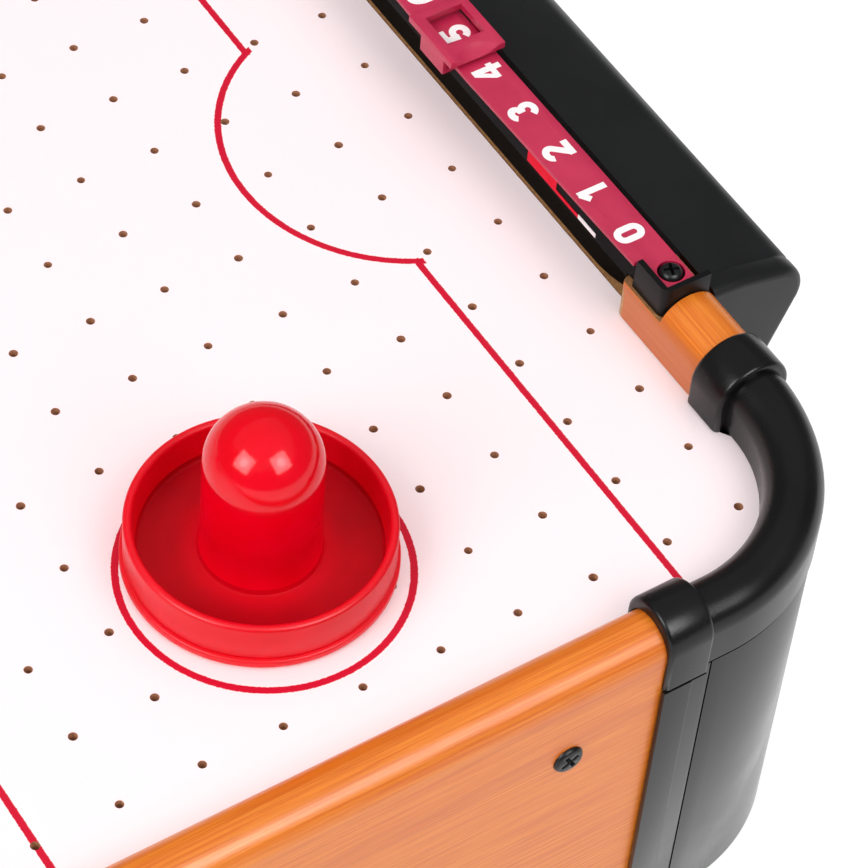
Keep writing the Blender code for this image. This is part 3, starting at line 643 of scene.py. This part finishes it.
def side_rail(where, side):
    section = [(side * y, z) for y, z in rail_section(SIDE_IN, SIDE_T, SIDE_ARCH)]
    rail = write(f"rail_{where}", prism(section, "X", -SIDE_HIGH.x, SIDE_HIGH.x))
    for x in (-RAIL_SCREW_X, RAIL_SCREW_X):
        hole = circle((x, RAIL_SCREW_Z), RAIL_SCREW_HOLE_R, 20)
        carve(rail, prism(hole, "Y", side * (SIDE_IN - 5), side * (SIDE_OUT + 5)))
    if side > 0:
        low, high = span_of("switch_bezel")
        wide = (low.x + SWITCH_LIP, high.x - SWITCH_LIP)
        tall = (low.z + SWITCH_LIP, high.z - SWITCH_LIP)
        carve(rail, block(wide, (SIDE_IN - 5, SIDE_OUT + 5), tall))
    wrap_wood(rail, 1, SIDE_OUT, SIDE_IN, SIDE_ARCH, f"side_rail_{where}")


def rounding(y, inward, x, radius, span):
    """What a round upright edge at (x, y) leaves out."""
    curve = [(x + radius - forward, y - inward * radius + inward * sideways)
             for forward, sideways in arc((0, 0), radius, 0, 90, 9)]
    outline = curve + [(x + radius, y + inward), (x - 1, y + inward), (x - 1, curve[0][1])]
    return prism(outline, "Z", *span)


def end_rail(end, place):
    """End rail with the goal mouth, the flat seats for the bracket and its screw holes."""
    section = rail_section(END_IN, END_T, END_ARCH)
    rail = write(f"rail_{end}", prism(section, "Y", -END_HIGH.y, END_HIGH.y), place)
    through = (END_IN - 5, END_OUT + 5)
    above = END_ARCH + 20
    lip = FIELD - LIP_DROP
    carve(rail, block(through, (-MOUTH, MOUTH), (lip, above)), place)
    edge = END_IN + GROOVE + GAP + LIP_T
    corner = [(edge + ROUTED[1] * (i / 8) ** 2, (1 - i / 8) * ROUTED[0] - MOUTH) for i in range(9)]
    routed = corner + [(END_OUT + 5, -MOUTH), (END_OUT + 5, MOUTH)]
    routed += [(x, -y) for x, y in reversed(corner)]
    carve(rail, prism(routed, "Z", SILL, above), place)
    upright = (FIELD + 0.05, NOTCH_TOP + 5)
    for side in (-1, 1):
        seat = block(through, sorted((side * (MOUTH - 1), side * NOTCH_END)), (NOTCH_TOP, above))
        carve(rail, seat, place)
        hole = circle((STRIP_SCREW[0], side * STRIP_SCREW[1]), STRIP_SCREW_HOLE_R, 16)
        carve(rail, prism(hole, "Z", FIELD + 1.0, above), place)
        carve(rail, rounding(side * MOUTH, -side, END_IN, CUT_ROUND, upright), place)
    wrap_wood(rail, 0, END_OUT, END_IN, END_ARCH, f"end_rail_{end}")

    def shaded_sill(centre, normal):
        inside = edge - 0.1 < abs(centre.x) < END_OUT - 0.01 and abs(centre.y) < MOUTH + 0.1
        return inside and SILL - 0.1 < centre.z < FIELD - 0.1

    def flat(centre, normal):
        return normal.z > 0.9 and min(abs(centre.z - top) for top in (lip, NOTCH_TOP)) < 0.05

    # painted shade: the sill inside the goal mouth gets a near-black copy of the cut board
    paint(rail, 2, shaded_sill)
    paint(rail, 3, flat)


# -------- corners

def cap_profile(half, arch_z, chamfer):
    """Arch over the rail line: (sideways, z) points from the outer foot to the inner foot."""
    foot = FIELD + GAP
    points = [(half - chamfer, CAP_LOW), (half, CAP_LOW + chamfer)]
    points += arc((0, arch_z), half, 0, 180, 28)
    return points + [(-half, foot + chamfer), (-half + chamfer, foot)]


def collar_marks(low, high, half, rounding):
    """Where a collar's cross-sections stand between low and high, with rounded ends."""
    if not rounding:
        return [(low, half), (high, half)]
    marks = [(low + rounding * (1 - back), half - rounding * (1 - up))
             for back, up in arc((0, 0), 1, 0, 90, 3)]
    return marks + [(low + high - at, wide) for at, wide in reversed(marks)]


def cap_stations(inset, halves, rounding, step, collar_z):
    """Stations of the cap from side rail to end rail: (x, y, outward, half width, arch z)."""
    side_y, end_x = SIDE_IN + SIDE_T / 2, END_IN + END_T / 2
    stations = []
    for at, wide in collar_marks(COLLAR_FROM[0], COLLAR_TO[0] - step, halves[0], rounding):
        stations.append((at, side_y, (0, 1), wide, collar_z))
    ring = []
    for count, out in enumerate(arc((0, 0), 1, 90, 0, 30)):
        turn = count / 30
        half = RING_HALF[0] + (RING_HALF[1] - RING_HALF[0]) * turn ** 4
        arch_z = SIDE_ARCH + (END_ARCH - SIDE_ARCH) * turn
        x, y = (CORNER[axis] + (RING_IN + half) * out[axis] for axis in (0, 1))
        ring.append((x, y, out, half - inset, arch_z))
    stations.append((COLLAR_TO[0] - step, *ring[0][1:]))
    stations += ring
    stations.append((ring[-1][0], COLLAR_TO[1] - step, *ring[-1][2:]))
    marks = collar_marks(COLLAR_FROM[1], COLLAR_TO[1] - step, halves[1], rounding)
    stations += [(end_x, at, (1, 0), wide, END_ARCH) for at, wide in reversed(marks)]
    return stations


def corner_cap(where, place):
    """Hollow quarter ring with a rounded collar over each rail end, open underneath."""
    proud = (SIDE_T / 2 + COLLAR, END_T / 2 + COLLAR)
    snug = (SIDE_T / 2 + GAP, END_T / 2 + GAP)
    outer = cap_stations(0, proud, COLLAR_ROUND, 0, COLLAR_ARCH)
    inner = cap_stations(CAP_WALL, snug, 0, SOCKET, SIDE_ARCH)
    bm = None
    for stations, chamfer in ((outer, 0.3), (inner, 0.02)):
        rows = [[(x + out[0] * w, y + out[1] * w, z) for w, z in cap_profile(half, arch_z, chamfer)]
                for x, y, out, half, arch_z in stations]
        bm = skin(rows, bm=bm)
    rims = [edge for edge in bm.edges if len(edge.link_faces) == 1]
    bmesh.ops.bridge_loops(bm, edges=rims)
    cap = write(f"cap_{where}", bm, place)
    dress(cap, CAP_PLASTIC, f"corner_cap_{where}", crease=40)


def leg_half(axis, face_in, face_out, lap):
    """Plan of a leg beside one rail, as (along the rail, out from it) points: the flat with its
    seam groove, then the channel round the rail's end."""
    start, stop = COLLAR_FROM[axis], COLLAR_TO[axis]
    face, shell = face_out + COLLAR, CORNER[1 - axis] + LEG_R
    near, far, deep = LEG_SEAM
    flat = [(start, face), (stop - LEG_RIDGE, face), (stop - LEG_RIDGE + 0.1, face - LEG_SHY),
            (stop - lap, face - LEG_SHY), (stop - lap, shell), (stop + near, shell),
            (stop + near, shell - deep), (stop + far, shell - deep), (stop + far, shell)]
    step = stop - SOCKET
    wall, back = step + LEG_WALL, face_in - LEG_CHANNEL
    channel = [(wall, shell - LEG_WALL), (wall, back), (start, back), (start, face_in - GAP),
               (step, face_in - GAP), (step, face_out + GAP), (start, face_out + GAP)]
    return flat, channel


def leg_outline():
    """Plan of a leg: curved shell with a channel round the end of each rail."""
    flat, channel = leg_half(0, SIDE_IN, SIDE_OUT, 0.3)
    end_flat, end_channel = ([(x, y) for y, x in reversed(line)]
                             for line in leg_half(1, END_IN, END_OUT, 0.0))
    outside = flat + arc(CORNER, LEG_R, 90, 0, 48) + end_flat
    return outside + end_channel + arc(CORNER, LEG_R - LEG_WALL, 0, 90, 24) + channel


def corner_leg(where, place):
    leg = write(f"leg_{where}", prism(leg_outline(), "Z", LEG_LOW, CAP_LOW - 2 * GAP), place)
    side = COLLAR_TO[0] - SOCKET + LEG_WALL / 2
    end = COLLAR_TO[1] - SOCKET + LEG_WALL / 2
    radius = LEG_R - LEG_WALL / 2
    floor = arc(CORNER, radius, 90, 0, 24) + [(CORNER[0] + radius, end), (side, end)]
    floor.append((side, CORNER[1] + radius))
    combine(leg, "UNION", prism(floor, "Z", *FOOT_FLOOR), place)
    soften(leg, 0.22, 2, 50)
    dress(leg, LEG_PLASTIC, f"corner_leg_{where}")


def foot_pad(where, place):
    """Rubber pad with two grip rings underneath."""
    centre, radius, low, high = round_of("foot_pad_back_right")
    profile = [(0, low + 0.5), (1.6, low + 0.5), (1.9, low)]
    for ring in (3.0, 4.8):
        grip = ((0.0, 0.0), (0.2, 0.5), (0.5, 0.5), (0.7, 0.0))
        profile += [(ring + out, low + up) for out, up in grip]
    profile += [(radius - 0.6, low)] + arc((radius - 0.6, low + 0.6), 0.6, -90, 0, 5)[1:]
    profile += [(radius, high - 0.3), (radius - 0.3, high), (0, high)]
    pad = write(f"foot_{where}", lathe(profile, centre, 48), place)
    dress(pad, RUBBER, f"foot_pad_{where}")


# -------- goals and counters

def box_section(inset):
    """Goal box cross-section in (x, z): flat top, round shoulder, face tapering to the rail."""
    back = BOX_LOW.x
    top = BOX_HIGH.z - inset
    points = [(back, top), (BOX_TOP_BREAK, top - 0.9)]
    points += arc(SHOULDER, SHOULDER_R - inset, 75, -25, 18)
    points.append((BOX_FACE[0][0] - inset, BOX_FACE[0][1] + inset / 2))
    points.append((BOX_FACE[1][0] - inset / 2, BOX_FACE[1][1] + inset))
    points.append((back, BOX_LOW.z + 2 * inset))
    return points


def goal_box(end, place):
    """Moulded box behind the goal: rounded ends with a raised bead, hollow, with a window."""
    half, rounding = BOX_HIGH.y, 2.0
    stations = [(half - 6.2, 0.0), (half - 5.6, 0.28), (half - 5.0, 0.28), (half - 4.4, 0.0)]
    for degrees in (0, 20, 40, 60, 80, 90):
        turn = math.radians(degrees)
        stations.append((half - rounding * (1 - math.sin(turn)), rounding * (1 - math.cos(turn))))
    stations = [(-y, inset) for y, inset in reversed(stations)] + stations
    rows = [[(x, y, z) for x, z in box_section(inset)] for y, inset in stations]
    box = write(f"goal_{end}", skin(rows, around=True, caps=True), place)
    hollow = box_section(BOX_WALL)
    hollow[0] = (END_OUT - 5, hollow[0][1])
    hollow[-1] = (END_OUT - 5, hollow[-1][1])
    inside = half - BOX_WALL
    carve(box, prism(hollow, "Y", -inside, inside), place)
    reach = WINDOW_HALF - WINDOW_TURN
    low, high = WINDOW_Z[0] + WINDOW_TURN, WINDOW_Z[1] - WINDOW_TURN
    outline = []
    for quarter, centre in enumerate(((reach, high), (-reach, high), (-reach, low), (reach, low))):
        outline += arc(centre, WINDOW_TURN, quarter * 90, quarter * 90 + 90, 5)
    carve(box, prism(outline, "X", END_OUT + 1.3, 265.0), place)
    dress(box, BOX_PLASTIC, f"goal_box_{end}", crease=36)


def score_bracket(end, place):
    """Beam over the goal mouth with a cradle for the strip at each end, open to the outside."""
    low, high = span_of("score_bracket_right")
    reach, step = CRADLE_Y + 1, MOUTH - GAP
    half = [(reach, BEAM_TOP), (reach, BEAM_LOW[0]), (step, BEAM_LOW[0]), (step, BEAM_LOW[1])]
    beam = [(-y, z) for y, z in half] + half[::-1]
    bracket = write(f"bracket_{end}", prism(beam, "X", *BEAM_X), place)
    lip, slant, outside, above = low.x + CRADLE_LIP, 0.4, high.x + 1, high.z + 1
    recess = [(lip, BEAM_TOP), (STRIP_HIGH.x, BEAM_TOP), (STRIP_HIGH.x, low.z - 1),
              (outside, low.z - 1), (outside, above), (lip, above)]
    for side in (-1, 1):
        near, far = side * CRADLE_Y, side * high.y
        cradle = [(near - side * slant * 0.4, low.z), (far, low.z), (far, high.z),
                  (near + side * slant, high.z)]
        combine(bracket, "UNION", prism(cradle, "X", low.x, high.x), place)
        corner = rounding(far, side, low.x, CUT_ROUND, (low.z - 1, above))
        carve(bracket, corner, place)
    for side in (-1, 1):
        y = sorted((side * (CRADLE_Y - 5), side * (high.y - CRADLE_LIP)))
        carve(bracket, prism(recess, "Y", *y), place)
        hole = circle((STRIP_SCREW[0], side * STRIP_SCREW[1]), STRIP_SCREW_HOLE_R, 16)
        carve(bracket, prism(hole, "Z", FIELD, FIELD + 30), place)
    soften(bracket, 0.55, 3)
    dress(bracket, [BRACKET_PLASTIC, SHADED_BEAM_PLASTIC], f"score_bracket_{end}")
    # painted shade: the beam's faces below its top get a darker, duller copy of the bracket plastic
    paint(bracket, 1, lambda c, n: abs(c.y) < CRADLE_Y - 1 and n.z < 0.5)


def goal_mark(end, place):
    """Plain red and white marks on the beam's inner face."""
    foot = BEAM_LOW[1] + 0.7
    marks = (((-42.5, -31.5), BEAM_TOP - 1.4, MARK_RED),
             ((-51.0, -42.5), foot + 0.9, MARK_RED),
             ((-57.5, -51.0), foot + 1.2, WHITE_INK))
    for count, (y, top, ink) in enumerate(marks):
        sheet = block((BEAM_X[0] - 0.12, BEAM_X[0] + 0.05), y, (foot, top))
        dress(write(f"mark_{end}_{count}", sheet, place), ink)


def score_strip(end, place):
    """Numbered strip, narrower where it lies in the cradles."""
    step, reach = CRADLE_Y - GAP, STRIP_HIGH.y
    inner, outer, bow, slim = STRIP_LOW.x, STRIP_HIGH.x, 1.3, 0.25
    half = [(outer - slim, 10.0), (outer, 50.0), (outer, reach), (STRIP_TUCK, reach),
            (STRIP_TUCK, step), (inner + bow, step), (inner, 10.0)]
    outline = half + [(x, -y) for x, y in reversed(half)]
    radius = STRIP_HEAD_R + GAP
    holes = [circle((STRIP_SCREW[0], side * STRIP_SCREW[1]), radius, 40) for side in (-1, 1)]
    plate = pierced(outline, holes, STRIP_LOW.z, STRIP_HIGH.z)
    bmesh.ops.dissolve_limit(plate, angle_limit=0.01, verts=plate.verts[:], edges=plate.edges[:])
    strip = write(f"strip_{end}", plate, place)
    soften(strip, 0.18, 2)
    dress(strip, CRIMSON, f"score_strip_{end}")


def stroke(points):
    """Outline of a line of even width through the points."""
    sides = ([], [])
    for i, point in enumerate(points):
        before = Vector(points[max(i - 1, 0)])
        after = Vector(points[min(i + 1, len(points) - 1)])
        along = (after - before).normalized()
        across = Vector((-along.y, along.x)) * DIGIT_STROKE / 2
        sides[0].append(tuple(Vector(point) + across))
        sides[1].append(tuple(Vector(point) - across))
    return sides[0] + sides[1][::-1]


def digit_lines():
    """The strokes that make each digit but 4, in a field from (0, 0) to about (4.6, 7)."""
    half = DIGIT_STROKE / 2
    bar = DIGIT_HIGH - half
    bend = bar - 1.5
    zero = arc((2.3, bend), 1.5, 0, 180, 20) + arc((2.3, DIGIT_HIGH - bend), 1.5, 180, 360, 20)
    six = [arc((2.3, 2.25), (1.55, 1.5), 0, 360, 40), arc((2.6, 3.3), (1.85, 2.95), 62, 190, 16)]
    return {
        0: [zero + [(3.8, bend)]],
        1: [[(2.9, 0), (2.9, DIGIT_HIGH)], [(0.75, 5.0), (2.9, 6.55)]],
        2: [arc((2.3, 4.95), (1.52, 1.3), 172, -38, 20) + [(0.75, 0.85)],
            [(0.1, half), (4.5, half)]],
        3: [arc((2.2, 5.1), (1.38, 1.15), 158, -95, 20),
            arc((2.25, 2.22), (1.55, 1.47), 97, -160, 22)],
        5: [[(0.9, bar), (4.3, bar)], [(1.35, 6.9), (1.05, 3.0)],
            arc((2.2, 2.35), 1.6, 138, -158, 26)],
        6: six,
        7: [[(0.2, bar), (4.5, bar)], [(3.75, 6.4), (1.7, 0)]],
        8: [arc((2.3, 5.2), (1.3, 1.08), 0, 360, 36), arc((2.3, 2.1), (1.55, 1.38), 0, 360, 40)],
        9: [[(4.6 - x, DIGIT_HIGH - y) for x, y in line] for line in six],
    }


def ribbon(line):
    """Outer and inner outline of a stroke that closes on itself."""
    loop = [Vector(point) for point in line[:-1]]
    rings = []
    for grow in (DIGIT_STROKE / 2, -DIGIT_STROKE / 2):
        ring = []
        for i, point in enumerate(loop):
            along = loop[(i + 1) % len(loop)] - loop[i - 1]
            ring.append(tuple(point + Vector((along.y, -along.x)).normalized() * grow))
        rings.append(ring)
    return rings


def digit_object(digit):
    """A flat digit, its foot towards +X and its reading direction along +Y."""
    if digit == 4:
        shapes = [pierced(FOUR, [FOUR_COUNTER], 0.0, DIGIT_T)]
    else:
        shapes = []
        for line in digit_lines()[digit]:
            if len(line) > 30 and math.dist(line[0], line[-1]) < 1e-6:
                outer, inner = ribbon(line)
                shapes.append(pierced(outer, [inner], 0.0, DIGIT_T))
            else:
                shapes.append(prism(stroke(line), "Z", 0.0, DIGIT_T))
    for shape in shapes:
        bmesh.ops.recalc_face_normals(shape, faces=shape.faces[:])
    made = write("digit", shapes[0])
    for shape in shapes[1:]:
        combine(made, "UNION", shape)
    return made


def score_digits(end, place):
    """White numbers 0 to 10 printed on the strip."""
    bm = bmesh.new()
    x = (STRIP_LOW.x + STRIP_HIGH.x) / 2 + DIGIT_HIGH / 2
    for score in range(11):
        y = SCORE_MIDDLE + (score - 5) * SCORE_PITCH
        for figure, shift in ((score, 0.0),) if score < 10 else ((1, -2.9), (0, 1.9)):
            mesh = GLYPHS[figure].copy()
            turn = Matrix(((0, -1, 0, x), (1, 0, 0, y + shift - 2.3),
                           (0, 0, 1, STRIP_HIGH.z - DIGIT_SINK), (0, 0, 0, 1)))
            mesh.transform(turn @ Matrix.Scale(1 / MM, 4))
            bm.from_mesh(mesh)
            bpy.data.meshes.remove(mesh)
    digits = write(f"digits_{end}", bm, place)
    dress(digits, WHITE_INK)


def score_slider(end, place):
    """Clip with a window and a thumb scoop, hooked under both edges of the strip."""
    low, high = span_of("score_slider_right")
    middle = SCORE_MIDDLE
    plate_low = STRIP_HIGH.z + 1.4
    plate = block((low.x, high.x), (low.y, high.y), (plate_low, high.z))
    slider = write(f"slider_{end}", plate, place)
    skirt = (middle + SKIRT_Y[0], middle + SKIRT_Y[1])
    wall, hook = plate_low + 0.5, STRIP_LOW.z - GAP
    for x, top in (((low.x, low.x + 1.1), wall), ((low.x, BEAM_X[0] - 2 * GAP), hook),
                   ((high.x - 0.9, high.x), wall), ((BEAM_X[1] + 2 * GAP, high.x), hook)):
        combine(slider, "UNION", block(x, skirt, (low.z, top)), place)
    half = SLIDER_WINDOW_HALF
    window = block(SLIDER_WINDOW_X, (middle - half, middle + half), (plate_low - 0.4, high.z + 1))
    carve(slider, window, place)
    ball, rise = SCOOP
    pit = [(0, -ball)] + arc((0, 0), ball, -90, 90, 60)[1:-1] + [(0, ball)]
    pit = [(x, high.z + rise + z) for x, z in pit]
    scoop = lathe(pit, ((low.x + high.x) / 2, low.y - 2.3), 120)
    carve(slider, scoop, place)
    soften(slider, 0.3, 3, 40)
    dress(slider, CRIMSON, f"score_slider_{end}", f"slider_{end}")


# -------- screws

def pan_head(radius, height, shank, depth):
    """Pan-head screw pointing down, its seat at z = 0, with a cross recess in the top."""
    profile = [(0, -depth), (shank * 0.8, -depth + 1.0), (shank, -depth + 2.0), (shank, 0)]
    profile.append((radius, 0))
    profile += arc((radius - height * 0.75, height * 0.1), (height * 0.75, height * 0.9), 0, 72, 8)
    profile.append((0, height * 1.02))
    screw = write("screw", lathe(profile, steps=40))
    wide, long = radius * 0.26, radius * 0.62
    for turn in (0, math.pi / 2):
        lobe = [(-long, height + 1), (-long, height * 0.45), (-long * 0.6, -height * 0.1)]
        lobe += [(-x, z) for x, z in reversed(lobe)]
        cut = prism(lobe, "Y", -wide / 2, wide / 2)
        carve(screw, cut, Matrix.Rotation(turn + 0.5, 4, "Z"))
    soften(screw, 0.08, 2)
    mesh = screw.data
    bpy.data.objects.remove(screw)
    return mesh


def screw(name, mesh, place, node, spin):
    thing = show(name, mesh.copy())
    turned = place @ Matrix.Rotation(spin, 4, "Z")
    thing.data.transform(Matrix.Scale(MM, 4) @ turned @ Matrix.Scale(1 / MM, 4))
    dress(thing, SCREW_STEEL, node)


def all_screws():
    draw = random.Random(SEED + 1)
    strip_mesh = pan_head(STRIP_HEAD_R, height=2.0, shank=1.3, depth=12.6)
    rail_mesh = pan_head(RAIL_HEAD_R, height=1.3, shank=1.6, depth=22.0)
    for end, place in ENDS.items():
        for count, side in enumerate((-1, 1)):
            seat = Matrix.Translation((STRIP_SCREW[0], side * STRIP_SCREW[1], BEAM_TOP + GAP))
            name = f"strip_screw_{end}_{count + 1}"
            screw(f"{name}_head", strip_mesh, place @ seat, name, draw.uniform(0, 1.5))
    for where, (sx, sy) in CORNERS.items():
        side, end = where.split("_")
        seat = Matrix.Translation((sx * RAIL_SCREW_X, sy * (SIDE_OUT - GAP), RAIL_SCREW_Z))
        turn = Matrix.Rotation(-sy * math.pi / 2, 4, "X")
        name = f"rail_screw_{side}_{end}"
        screw(f"{name}_head", rail_mesh, seat @ turn, name, draw.uniform(0, 1.5))


# -------- loose pieces

def mallet(end, place):
    """Dish with a rounded rim and a domed knob, on a felt pad."""
    felt_at, felt_r, low, high = round_of("mallet_right_felt")
    foot, base, under = MALLET_R, MALLET_LOW - FIELD, high + GAP - FIELD
    outer, top = foot - 0.7, MALLET_TOP - FIELD
    profile = [(0, under), (25.4, under), (25.4, base + 0.3), (25.7, base)]
    profile += arc((foot - 0.5, base + 0.5), 0.5, -90, 0, 4) + arc((foot - 0.5, 2.1), 0.5, 0, 70, 4)
    profile += [(foot - 1.15, 2.65), (foot - 1.15, 2.85)]
    profile += [(outer - 0.05, 3.15), (outer, 3.35), (outer, 10.6)]
    profile += arc((outer - 0.95, 11.05), 0.95, 0, 180, 14)
    profile += [(outer - 1.95, 10.6), (24.75, 5.0)] + arc((24.1, 4.15), 0.6, 0, -90, 4)
    profile += [(20.0, 3.5), (13.3, 3.45), (12.6, 3.8), (12.35, 5.0), (KNOB_R, 12.0)]
    profile += arc((0, top - KNOB_R), KNOB_R, 0, 90, 36)[:-1] + [(0, top)]
    profile = [(radius, FIELD + z) for radius, z in profile]
    body = write(f"mallet_{end}", lathe(profile, MALLET_AT, 128), place)
    dress(body, [MALLET_RED, MALLET_SHADED_FLOOR], f"mallet_{end}_body", f"mallet_{end}")
    middle = place @ Vector((*MALLET_AT, 0))
    # painted shade: the dish's floor and the feet of its walls take the darker floor material
    paint(body, 1, lambda c, n: FIELD + 3.3 < c.z < FIELD + 6 and (c - middle).xy.length < 24.9)
    edge = [(0, low), (felt_r - 0.3, low), (felt_r, low + 0.3), (felt_r, high - 0.3),
            (felt_r - 0.3, high), (0, high)]
    pad = write(f"felt_{end}", lathe(edge, felt_at, 96), place)
    dress(pad, FELT, f"mallet_{end}_felt", f"mallet_{end}")


def puck():
    """Flat disc with a shallow recess and a rounded edge on each face."""
    centre, radius, low, high = round_of("puck")
    round_edge, recess = 0.9, 0.6
    bottom = [(0, low + recess), (16.5, low + recess), (17.5, low)]
    side = arc((radius - round_edge, low + round_edge), round_edge, -90, 0, 6)
    side += arc((radius - round_edge, high - round_edge), round_edge, 0, 90, 6)
    top = [(17.5, high), (16.5, high - recess), (0, high - recess)]
    disc = write("puck_disc", lathe(bottom + side + top, centre, 96))
    dress(disc, PUCK_RED, "puck", "loose_puck")


# -------- air chest

def keep(slot, material, *nodes):
    """CAD pieces that stay: a better material and softened edges."""
    for node in nodes:
        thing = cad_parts[node]
        thing.data.materials.clear()
        thing.data.materials.append(material)
        bevel(thing, 0.25, 2, 40)


def air_chest():
    keep("plain_board", CHEST_BOARD, "batten_right", "batten_left", "base_board")
    keep("fan_plastic", CHEST_PLASTIC, "fan_housing", "fan_impeller", "fan_grille",
         "battery_box", "battery_door")
    keep("motor_steel", MOTOR_STEEL, "fan_motor")
    keep("cell_steel", CELL_WRAP, *(f"battery_{count + 1}" for count in range(4)))
    keep("goal_plastic", CHEST_PLASTIC, "switch_bezel", "switch_rocker")


# -------- studio

def soft_box(name, aim, direction, distance, size, power, shiny):
    """A square lamp that either lights surfaces or is only mirrored by them."""
    away = Vector(direction).normalized()
    lamp = bpy.data.lights.new(name, "AREA")
    lamp.shape = "SQUARE"
    lamp.size = size
    lamp.energy = power
    thing = show(name, lamp)
    thing.location = aim + away * distance
    thing.rotation_mode = "QUATERNION"
    thing.rotation_quaternion = away.to_track_quat("Z", "Y")
    thing.visible_camera = False
    thing.visible_glossy = shiny
    thing.visible_diffuse = not shiny


def studio():
    world = bpy.data.worlds.new("studio")
    world.use_nodes = True
    glow = world.node_tree.nodes["Background"].inputs
    glow["Color"].default_value = (1.0, 0.985, 0.99, 1.0)
    glow["Strength"].default_value = WORLD_LIGHT
    bpy.context.scene.world = world
    bpy.context.scene.view_settings.view_transform = "Standard"
    floor = write("floor", block((-6000, 6000), (-6000, 6000), (-10, 0)))
    g = Graph("floor")
    grain = g.noise(scale=0.02)
    g.finish(base_color=g.mix(grain, (0.30, 0.30, 0.30), (0.32, 0.32, 0.32)), roughness=0.9,
             emission_color=(1.0, 1.0, 1.0), emission_strength=0.82)
    floor.data.materials.append(g.material)
    aim = Vector((0.115, -0.09, FIELD * MM))
    left, front = (-0.771, -0.100, 0.630), (0.163, -0.696, 0.700)
    for name, direction, light in (("left", left, 18.5), ("front", front, 10.0)):
        soft_box(f"{name}_light", aim, direction, 2.0, 1.16, light, False)
        soft_box(f"{name}_shine", aim, direction, 2.01, 1.16, 24.0, True)
        soft_box(f"{name}_core", aim, direction, 1.97, 0.5, 4.5, True)
    soft_box("top_light", aim, (0, 0, 1), 2.2, 5.0, 69.0, False)
    soft_box("top_shine", aim, (0, 0, 1), 2.21, 5.0, 17.0, True)


def camera():
    lens = bpy.data.cameras.new("camera")
    lens.lens = 154.24
    lens.sensor_width = 36.0
    lens.clip_start, lens.clip_end = 0.05, 50.0
    thing = show("camera", lens)
    right, up = Vector((0.8411, -0.5371, 0.0633)), Vector((0.3818, 0.6726, 0.6339))
    back = right.cross(up)
    turn = Matrix((right, up, back)).transposed().to_4x4()
    thing.matrix_world = Matrix.Translation((-0.1287, -0.4671, 0.6781)) @ turn
    bpy.context.scene.camera = thing


FIELD_LAMINATE = field_laminate()
HOLE_EDGE = raw_board("hole_edge", (224, 158, 116))
RAW_EDGE = raw_board("rail_core", (222, 172, 120))
# painted shade: a near-black brown for the sill deep in the goal mouth
SHADED_SILL_BOARD = raw_board("shaded_sill_board", (46, 30, 18))
BOARD_EDGE = raw_board("board_edge", (176, 122, 68))
WOOD_X, WOOD_Y = wood_film("X"), wood_film("Y")
CAP_PLASTIC = black_plastic("cap_plastic", tone=(18, 18, 19), gloss=0.27, wear=0.9)
LEG_PLASTIC = black_plastic("leg_plastic", tone=(23, 23, 24), gloss=0.19, wear=0.3, shine=0.55)
BOX_PLASTIC = black_plastic("box_plastic", tone=(24, 25, 26), gloss=0.38, depth=0.03, wear=0.35)
# painted shade: darker, duller copy of the bracket plastic for the beam in the goal mouth
SHADED_BEAM_PLASTIC = black_plastic("shaded_beam_plastic", tone=(12, 12, 13), gloss=0.5, wear=0.4, shine=0.05)
BRACKET_PLASTIC = black_plastic("bracket_plastic", gloss=0.4, wear=1.0, shine=0.16)
CHEST_PLASTIC = black_plastic("chest_plastic", gloss=0.45, wear=0.3)
CRIMSON = bright_plastic("crimson_plastic", (187, 32, 72), (198, 40, 80), gloss=0.34)
MARK_RED = print_ink("mark_red", (228, 0, 42), (238, 0, 48), 0.1)
PUCK_RED = bright_plastic("puck_plastic", (214, 12, 26), (224, 18, 32), gloss=0.22)
# Both mallet materials glow faintly as painted light; the floor one also carries painted shade
MALLET_RED = mallet_plastic("mallet_plastic", False)
MALLET_SHADED_FLOOR = mallet_plastic("mallet_shaded_floor", True)
FELT = felt()
WHITE_INK = print_ink("white_ink", (246, 240, 241), (255, 251, 250), 0.5)
RUBBER = black_plastic("rubber", tone=(26, 26, 27), gloss=0.75, wear=0.2)
SCREW_STEEL = metal("screw_steel", (40, 41, 42), 0.26, metallic=0.6)
MOTOR_STEEL = metal("motor_steel", (190, 190, 188), 0.25)
CELL_WRAP = cell_wrap()
CHEST_BOARD = raw_board("chest_board", (190, 146, 100))

GLYPHS = []
for figure in range(10):
    glyph = digit_object(figure)
    GLYPHS.append(glyph.data.copy())
    bpy.data.objects.remove(glyph)

camera()
playfield()
side_rail("front", -1)
side_rail("back", 1)
for where, (sx, sy) in CORNERS.items():
    mirror = Matrix.Diagonal((sx, sy, 1, 1))
    for build in (corner_cap, corner_leg, foot_pad):
        build(where, mirror)
for end, place in ENDS.items():
    for build in (end_rail, goal_box, score_bracket, goal_mark, score_strip, score_digits,
                  score_slider, mallet):
        build(end, place)
all_screws()
puck()
air_chest()
studio()
